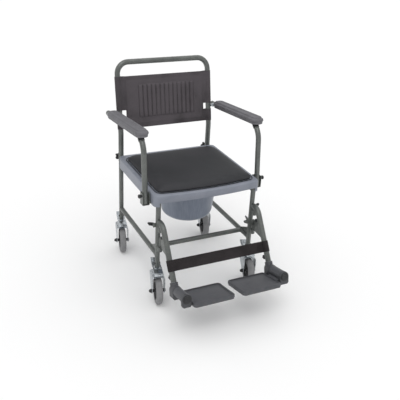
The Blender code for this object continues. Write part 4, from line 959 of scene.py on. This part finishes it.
# Each footplate is an injection moulding in dark grey polypropylene: a board with a raised border and
# fine anti-slip ribs, hung by a long knuckle on the hub's axle.
# footplate polypropylene: of the same family, scuffed a little lighter by shoes, with a 0.9 mm grain
tones = ((0.3, "494A4E"), (0.62, "525357"), (0.85, "606165"))
plate_poly = mottled("footplate_polypropylene", (40.0, 6.0, 1.2), 1100.0, tones, (0.40, 0.58), (0.2, 0.0003),
    IOR=1.49)
outline = []
for a, b, start in ((1, 1, 0), (0, 1, 90), (0, 0, 180), (1, 0, 270)):
    for k in range(9):
        turn = math.radians(start + 90 * k / 8)
        centre_p, centre_t = (-0.040 if a else -0.196), (0.124 if b else 0.002)
        outline.append((centre_p + 0.014 * math.cos(turn), centre_t + 0.014 * math.sin(turn)))
board = plate([on_hub(p, -0.037, t) for p, t in outline], HUB_UP * 0.017)
bpy.ops.object.mode_set(mode="EDIT")
bpy.ops.mesh.select_all(action="DESELECT")
bpy.ops.object.mode_set(mode="OBJECT")
for face in board.data.polygons:
    face.select = face.normal.dot(HUB_UP) > 0.9
bpy.ops.object.mode_set(mode="EDIT")
bpy.ops.mesh.select_mode(type="FACE")
bpy.ops.mesh.bevel(offset=0.0030, segments=4)
bpy.ops.mesh.inset(thickness=0.0060, depth=0.0)
bpy.ops.mesh.inset(thickness=0.0012, depth=-0.0014)
bpy.ops.object.mode_set(mode="OBJECT")
bevelled(board, 0.0010, 2, 60)
ribs = []
for k in range(15):
    t = 0.0045 + k * 0.0080
    ribs.append(plate([on_hub(p, -0.0216, t + u) for p, u in ((-0.0385, -0.0012), (-0.0385, 0.0012),
        (-0.1975, 0.0012), (-0.1975, -0.0012))], HUB_UP * 0.0009, 0.0004, 1))
knuckle = turned([(0.0056, 0.0271), (0.0195, 0.0271), (0.0205, 0.0281), (0.0205, 0.1019), (0.0195, 0.1029),
    (0.0056, 0.1029), (0.0056, 0.0271)], meet, TOES, 56)
web = [(-0.031, -0.035), (-0.010, -0.018), (-0.010, -0.012), (-0.031, -0.0195)]
web = plate([on_hub(p, q, 0.0272) for p, q in web], TOES * 0.0756, 0.0008)
pair(joined(board, *ribs, knuckle, web), "footplate_board_", plate_poly, "footplate_", "footplate_plastic",
    "footplate_", smooth=40)


# A small lobed knob behind each hanger clamps the stem. It is moulded in black nylon round the head of
# a steel screw.
screw = meet - DOWN * 0.052
start = screw + BEHIND * (HANGER_R + 0.004)
aside, over = Vector((1, 0, 0)), BEHIND.cross(Vector((1, 0, 0)))
lobes = []
for k in range(60):
    turn = 2 * math.pi * k / 60
    reach = 0.0110 * (0.90 + 0.10 * math.cos(6 * turn))
    lobes.append(start + aside * reach * math.cos(turn) + over * reach * math.sin(turn))
grip = plate(lobes, BEHIND * 0.014, 0.0020, 3, angle=50)
thread_pin = turned([(0, 0.0110), (0.003, 0.0110), (0.003, 0.0140), (0.006, 0.0150), (0.006, 0.018), (0, 0.018)],
    screw, BEHIND, 24)
pair(joined(grip, thread_pin), "clamp_knob_", black_nylon, "stem_knob_", "black_plastic", "stem_knob_", smooth=45)


# The calf strap is 50 mm woven polyester webbing, sewn in a loop round the left hanger. Its free end is
# gathered on elastic in narrow ribs, and hooks into a second loop of webbing on the right hanger.
STRAP_Z, STRAP_WIDTH, LOOP_R = 0.251, 0.050, 0.01435
webbing = blank_material("woven_polyester_webbing")
# webbing: brown-black cords 1.7 mm apart along the strap, crossed by a finer weft, dull with a faint sheen
spot = put(webbing, "TexCoord").outputs["Object"]
flat_on = put(webbing, "Mapping", {"Vector": spot}, Rotation=(math.radians(-33.2), 0, 0)).outputs["Vector"]
fine = dict(Detail=1.0, bands_direction="Z", Scale=185.0, Distortion=0.3)
cords = put(webbing, "TexWave", {"Vector": flat_on}, **fine).outputs["Fac"]
fine.update(bands_direction="X", Scale=420.0, Distortion=0.5)
weft = put(webbing, "TexWave", {"Vector": flat_on}, **fine).outputs["Fac"]
weave = put(webbing, "Math", {0: cords, 1: weft}, operation="ADD").outputs[0]
cloud = put(webbing, "TexNoise", {"Vector": spot}, Scale=14.0, Detail=4.0).outputs["Fac"]
lively = put(webbing, "Math", {0: weave, 1: cloud}, operation="MULTIPLY").outputs[0]
stops = ((0.2, "1B191A"), (0.5, "2B2728"), (0.9, "3C3739"))
surface(webbing, lively, weave, weave, stops, (0.66, 0.84), (0.35, 0.0005), IOR=1.5, Specular_IOR_Level=0.25)


def band(path, centre, name, body, *nodes):
    """Webbing along a path of (x, distance ahead of the hangers' plane), as wide as the strap."""
    points, faces, across = [], [], 14
    for px, ahead in path:
        for k in range(across + 1):
            w = (k / across - 0.5) * (STRAP_WIDTH - 0.0012)
            points.append(Vector((px, centre.y, centre.z)) + DOWN * w - BEHIND * ahead)
    for r in range(len(path) - 1):
        for k in range(across):
            a = r * (across + 1) + k
            faces.append((a, a + 1, a + across + 2, a + across + 1))
    obj = edit(meshed(name, points, faces))
    bpy.ops.mesh.remove_doubles(threshold=1e-6)
    bpy.ops.mesh.normals_make_consistent(inside=False)
    bpy.ops.object.mode_set(mode="OBJECT")
    applied(obj, "SOLIDIFY", thickness=0.0020, offset=0.0)
    fit(obj, name, webbing, body, "strap_webbing", *nodes, smooth=50)
    return obj


wrap = []
for k in range(31):
    turn = math.radians(330 - 270 * k / 30)
    wrap.append((x + LOOP_R * math.cos(turn), LOOP_R * math.sin(turn)))
run_from = wrap[-1][0] + (wrap[-1][1] - 0.00125) * 1.732
run_to, ribbed_from = 0.2143, 0.1900
run = [(run_from + (ribbed_from - run_from) * k / 100, 0.00125) for k in range(101)]
for k in range(1, 49):
    px = ribbed_from + (run_to - ribbed_from) * k / 48
    run.append((px, 0.00125 + 0.0008 * (1 - math.cos(2 * math.pi * (px - ribbed_from) / 0.00405))))
band(wrap + run, hanger_point(x, STRAP_Z), "calf_strap_webbing", "hanger_left", "calf_strap")
ring = []
for k in range(49):
    turn = math.radians(7.5 * k)
    ring.append((LEG_X + LOOP_R * math.cos(turn), LOOP_R * math.sin(turn)))
band(ring, hanger_point(LEG_X, STRAP_Z), "strap_loop_webbing", "hanger_right", "strap_loop")


# The casters: a hood and two cheeks pressed from one 2.5 mm steel sheet, a spun ball race and a solid stem,
# all bright zinc plated. A moulded wheel with a grey rubber tyre turns on a bolt, which has a black cone
# cap at its left end and a low black nut at its right end.
TRAIL, WHEEL_R = 0.040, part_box("caster_wheel_front_left")[1].z / 2
SWIVEL = math.radians(-13)
x, y = -LEG_X, FRONT_Y
hub = Vector((x, y - TRAIL, WHEEL_R))
turn_it = Matrix.Translation((x, y, 0)) @ Matrix.Rotation(SWIVEL, 4, "Z") @ Matrix.Translation((-x, -y, 0))

half, corner_r, top = 0.02745, 0.0095, 0.13325
hood = [(x - half, y - 0.064, 0.045)]
hood += [(x - half + corner_r * (1 - math.cos(math.radians(15 * k))), y - 0.064,
    top - corner_r * (1 - math.sin(math.radians(15 * k)))) for k in range(7)]
hood += [(2 * x - px, py, pz) for px, py, pz in reversed(hood)]
cheeks = edit(drawn(hood, closed=False))
for _ in range(4):
    bpy.ops.mesh.extrude_region_move(TRANSFORM_OT_translate={"value": (0, 0.024, 0)})
bpy.ops.mesh.select_all(action="SELECT")
bpy.ops.mesh.normals_make_consistent(inside=False)
bpy.ops.object.mode_set(mode="OBJECT")
applied(cheeks, "SOLIDIFY", thickness=0.0025, offset=0.0)
side_view = [(0.024, 0.1350), (0.0275, 0.1280), (0.0285, 0.1190), (0.0240, 0.1110), (0.0100, 0.0950)]
side_view += [(-TRAIL + 0.013 * math.cos(math.radians(-20 - 14 * k)),
    WHEEL_R + 0.013 * math.sin(math.radians(-20 - 14 * k))) for k in range(11)]
side_view += [(-0.0575, 0.0950), (-0.0578, 0.1080), (-0.0555, 0.1190), (-0.0510, 0.1285), (-0.0450, 0.1350)]
cut_by(cheeks, plate([(x - 0.05, y + u, v) for u, v in side_view], (0.10, 0, 0)), "INTERSECT")
race = [(0, 0.1285), (0.0240, 0.1285), (0.0252, 0.1310), (0.0252, 0.1345), (0.0236, 0.1392), (0.0214, 0.1412),
    (0.0214, 0.1428), (0.0190, 0.1462), (0.0150, 0.1492), (0.0120, 0.1500), (0.0120, 0.1626), (0.0092,
    0.1627), (0.0090, 0.170), (0, 0.170)]
race = turned(race, (x, y, 0), (0, 0, 1), 48)
rivets = [turned([(0, -0.001), (0.0030, -0.001), (0.0030, 0.0006), (0.0018, 0.0014), (0, 0.0016)],
    (x + dx, y + dy, 0.1345), (0, 0, 1), 16) for dx, dy in ((-0.0125, -0.034), (0.0125, -0.034))]
fork = joined(cheeks, race, *rivets)
fork.data.transform(turn_it)
fit(fork, "fork_front_left", zinc, "caster_fork_front_left", "zinc", "caster_fork_front_left", smooth=40)

ends = []
for side in (-1, 1):
    cone = [(0, -0.004), (0.0095, -0.004), (0.0098, 0.0005), (0.0090, 0.0030), (0.0062, 0.0095), (0.0050, 0.0115),
        (0.0030, 0.0122), (0, 0.0123)]
    low_nut = [(0, -0.004), (0.0085, -0.004), (0.0085, 0.0015), (0.0070, 0.0040), (0, 0.0046)]
    ends.append(turned(cone if side < 0 else low_nut, hub + Vector((side * 0.0288, 0, 0)), (side, 0, 0), 32))
    ends.append(turned([(0, -0.001), (0.0075, -0.001), (0.0075, 0.0095), (0, 0.0095)],
        hub + Vector((side * 0.0162, 0, 0)), (side, 0, 0), 24))
pin = turned([(0, -0.030), (0.004, -0.030), (0.004, 0.030), (0, 0.030)], hub, (1, 0, 0), 24)
caps = joined(*ends, pin)
caps.data.transform(turn_it)
fit(caps, "axle_caps_front_left", black_nylon, "caster_fork_front_left", "black_plastic", "caster_axle_front_left",
    smooth=45)

# thermoplastic rubber: mid grey and dull, a little dusty where it has rolled, with a 1 mm mould texture
tones = ((0.3, "7B7B7D"), (0.7, "8B8B8C"))
tyre_rubber = mottled("grey_thermoplastic_rubber", (45.0, 5.0, 0.0), 950.0, tones, (0.58, 0.76), (0.2, 0.0004),
    IOR=1.52)
tyre = []
for k in range(17):
    turn = math.radians(-90 + 180 * k / 16)
    tyre.append((0.0490 + (WHEEL_R - 0.0490) * max(math.cos(turn), 0) ** 0.62, 0.0150 * math.sin(turn)))
tyre = [(0.0434, -0.0138)] + tyre + [(0.0434, 0.0138), (0.0426, 0.0), (0.0434, -0.0138)]
tyre = turned(tyre, hub, (1, 0, 0), 72)
tyre.data.transform(turn_it)
fit(tyre, "tyre_front_left", tyre_rubber, "caster_wheel_front_left", "tyre_rubber", "caster_wheel_front_left",
    smooth=50)
centre = [(0.0047, 0.0148), (0.0112, 0.0150), (0.0120, 0.0142), (0.0132, 0.0080), (0.0380, 0.0072),
    (0.0400, 0.0128), (0.0412, 0.0138), (0.0436, 0.0138)]
centre = turned(centre + [(r, -h) for r, h in reversed(centre)] + [centre[0]], hub, (1, 0, 0), 60)
spokes = []
for k in range(6):
    tilt = Matrix.Translation(hub) @ Matrix.Rotation(math.radians(60 * k), 4, "X") @ Matrix.Translation(-hub)
    spoke = block((x - 0.0115, hub.y - 0.0022, hub.z + 0.011), (x + 0.0115, hub.y + 0.0022, hub.z + 0.0405), 0.0010)
    spoke.data.transform(tilt)
    spokes.append(spoke)
centre = joined(centre, *spokes)
centre.data.transform(turn_it)
fit(centre, "wheel_centre_front_left", black_nylon, "caster_wheel_front_left", "black_plastic", smooth=40)

# the brake pedal is a bent strip under the race, its treads ribbed so that a shoe grips them
strip = [(0.066, 0.014), (0.044, 0.0015), (-0.046, 0.0), (-0.060, -0.007)]
edge = [(u, v + 0.00125) for u, v in strip] + [(u, v - 0.00125) for u, v in reversed(strip)]
pedal = plate([(x - 0.020, y + u, 0.156 + v) for u, v in edge], (0.040, 0, 0), 0.0008)
cut_by(pedal, block((x - 0.014, y - 0.014, 0.136), (x + 0.014, y + 0.014, 0.176)))
ribs = []
for k in range(5):
    u = 0.0475 + 0.0040 * k
    v = 0.0015 + (u - 0.044) * 0.568
    ribs.append(turned([(0, -0.0165), (0.0006, -0.0165), (0.0011, -0.0158), (0.0011, 0.0158), (0.0006, 0.0165),
        (0, 0.0165)], (x, y + u, 0.156 + v + 0.00125), (1, 0, 0), 10))
for k in range(2):
    u = -0.0495 - 0.0045 * k
    ribs.append(turned([(0, -0.0165), (0.0006, -0.0165), (0.0011, -0.0158), (0.0011, 0.0158), (0.0006, 0.0165),
        (0, 0.0165)], (x, y + u, 0.156 + 0.0013 + (u + 0.046) * 0.5), (1, 0, 0), 10))
pedal = joined(pedal, *ribs)
pedal.data.transform(turn_it)
fit(pedal, "pedal_front_left", zinc, "brake_pedal_front_left", "zinc", "brake_pedal_front_left", smooth=40)

for place, dx, dy in (("front_right", 2 * LEG_X, 0), ("rear_left", 0, REAR_Y - FRONT_Y),
    ("rear_right", 2 * LEG_X, REAR_Y - FRONT_Y)):
    move = Matrix.Translation((dx, dy, 0))
    for piece, body, nodes in (("fork", "caster_fork", ("caster_fork",)),
        ("axle_caps", "caster_fork", ("caster_axle",)), ("tyre", "caster_wheel",
        ("caster_wheel",)), ("wheel_centre", "caster_wheel", ()), ("pedal", "brake_pedal", ("brake_pedal",))):
        copied(bpy.data.objects[piece + "_front_left"], piece + "_" + place, body + "_" + place,
            *[n + "_" + place for n in nodes], move=move)

leave_all()
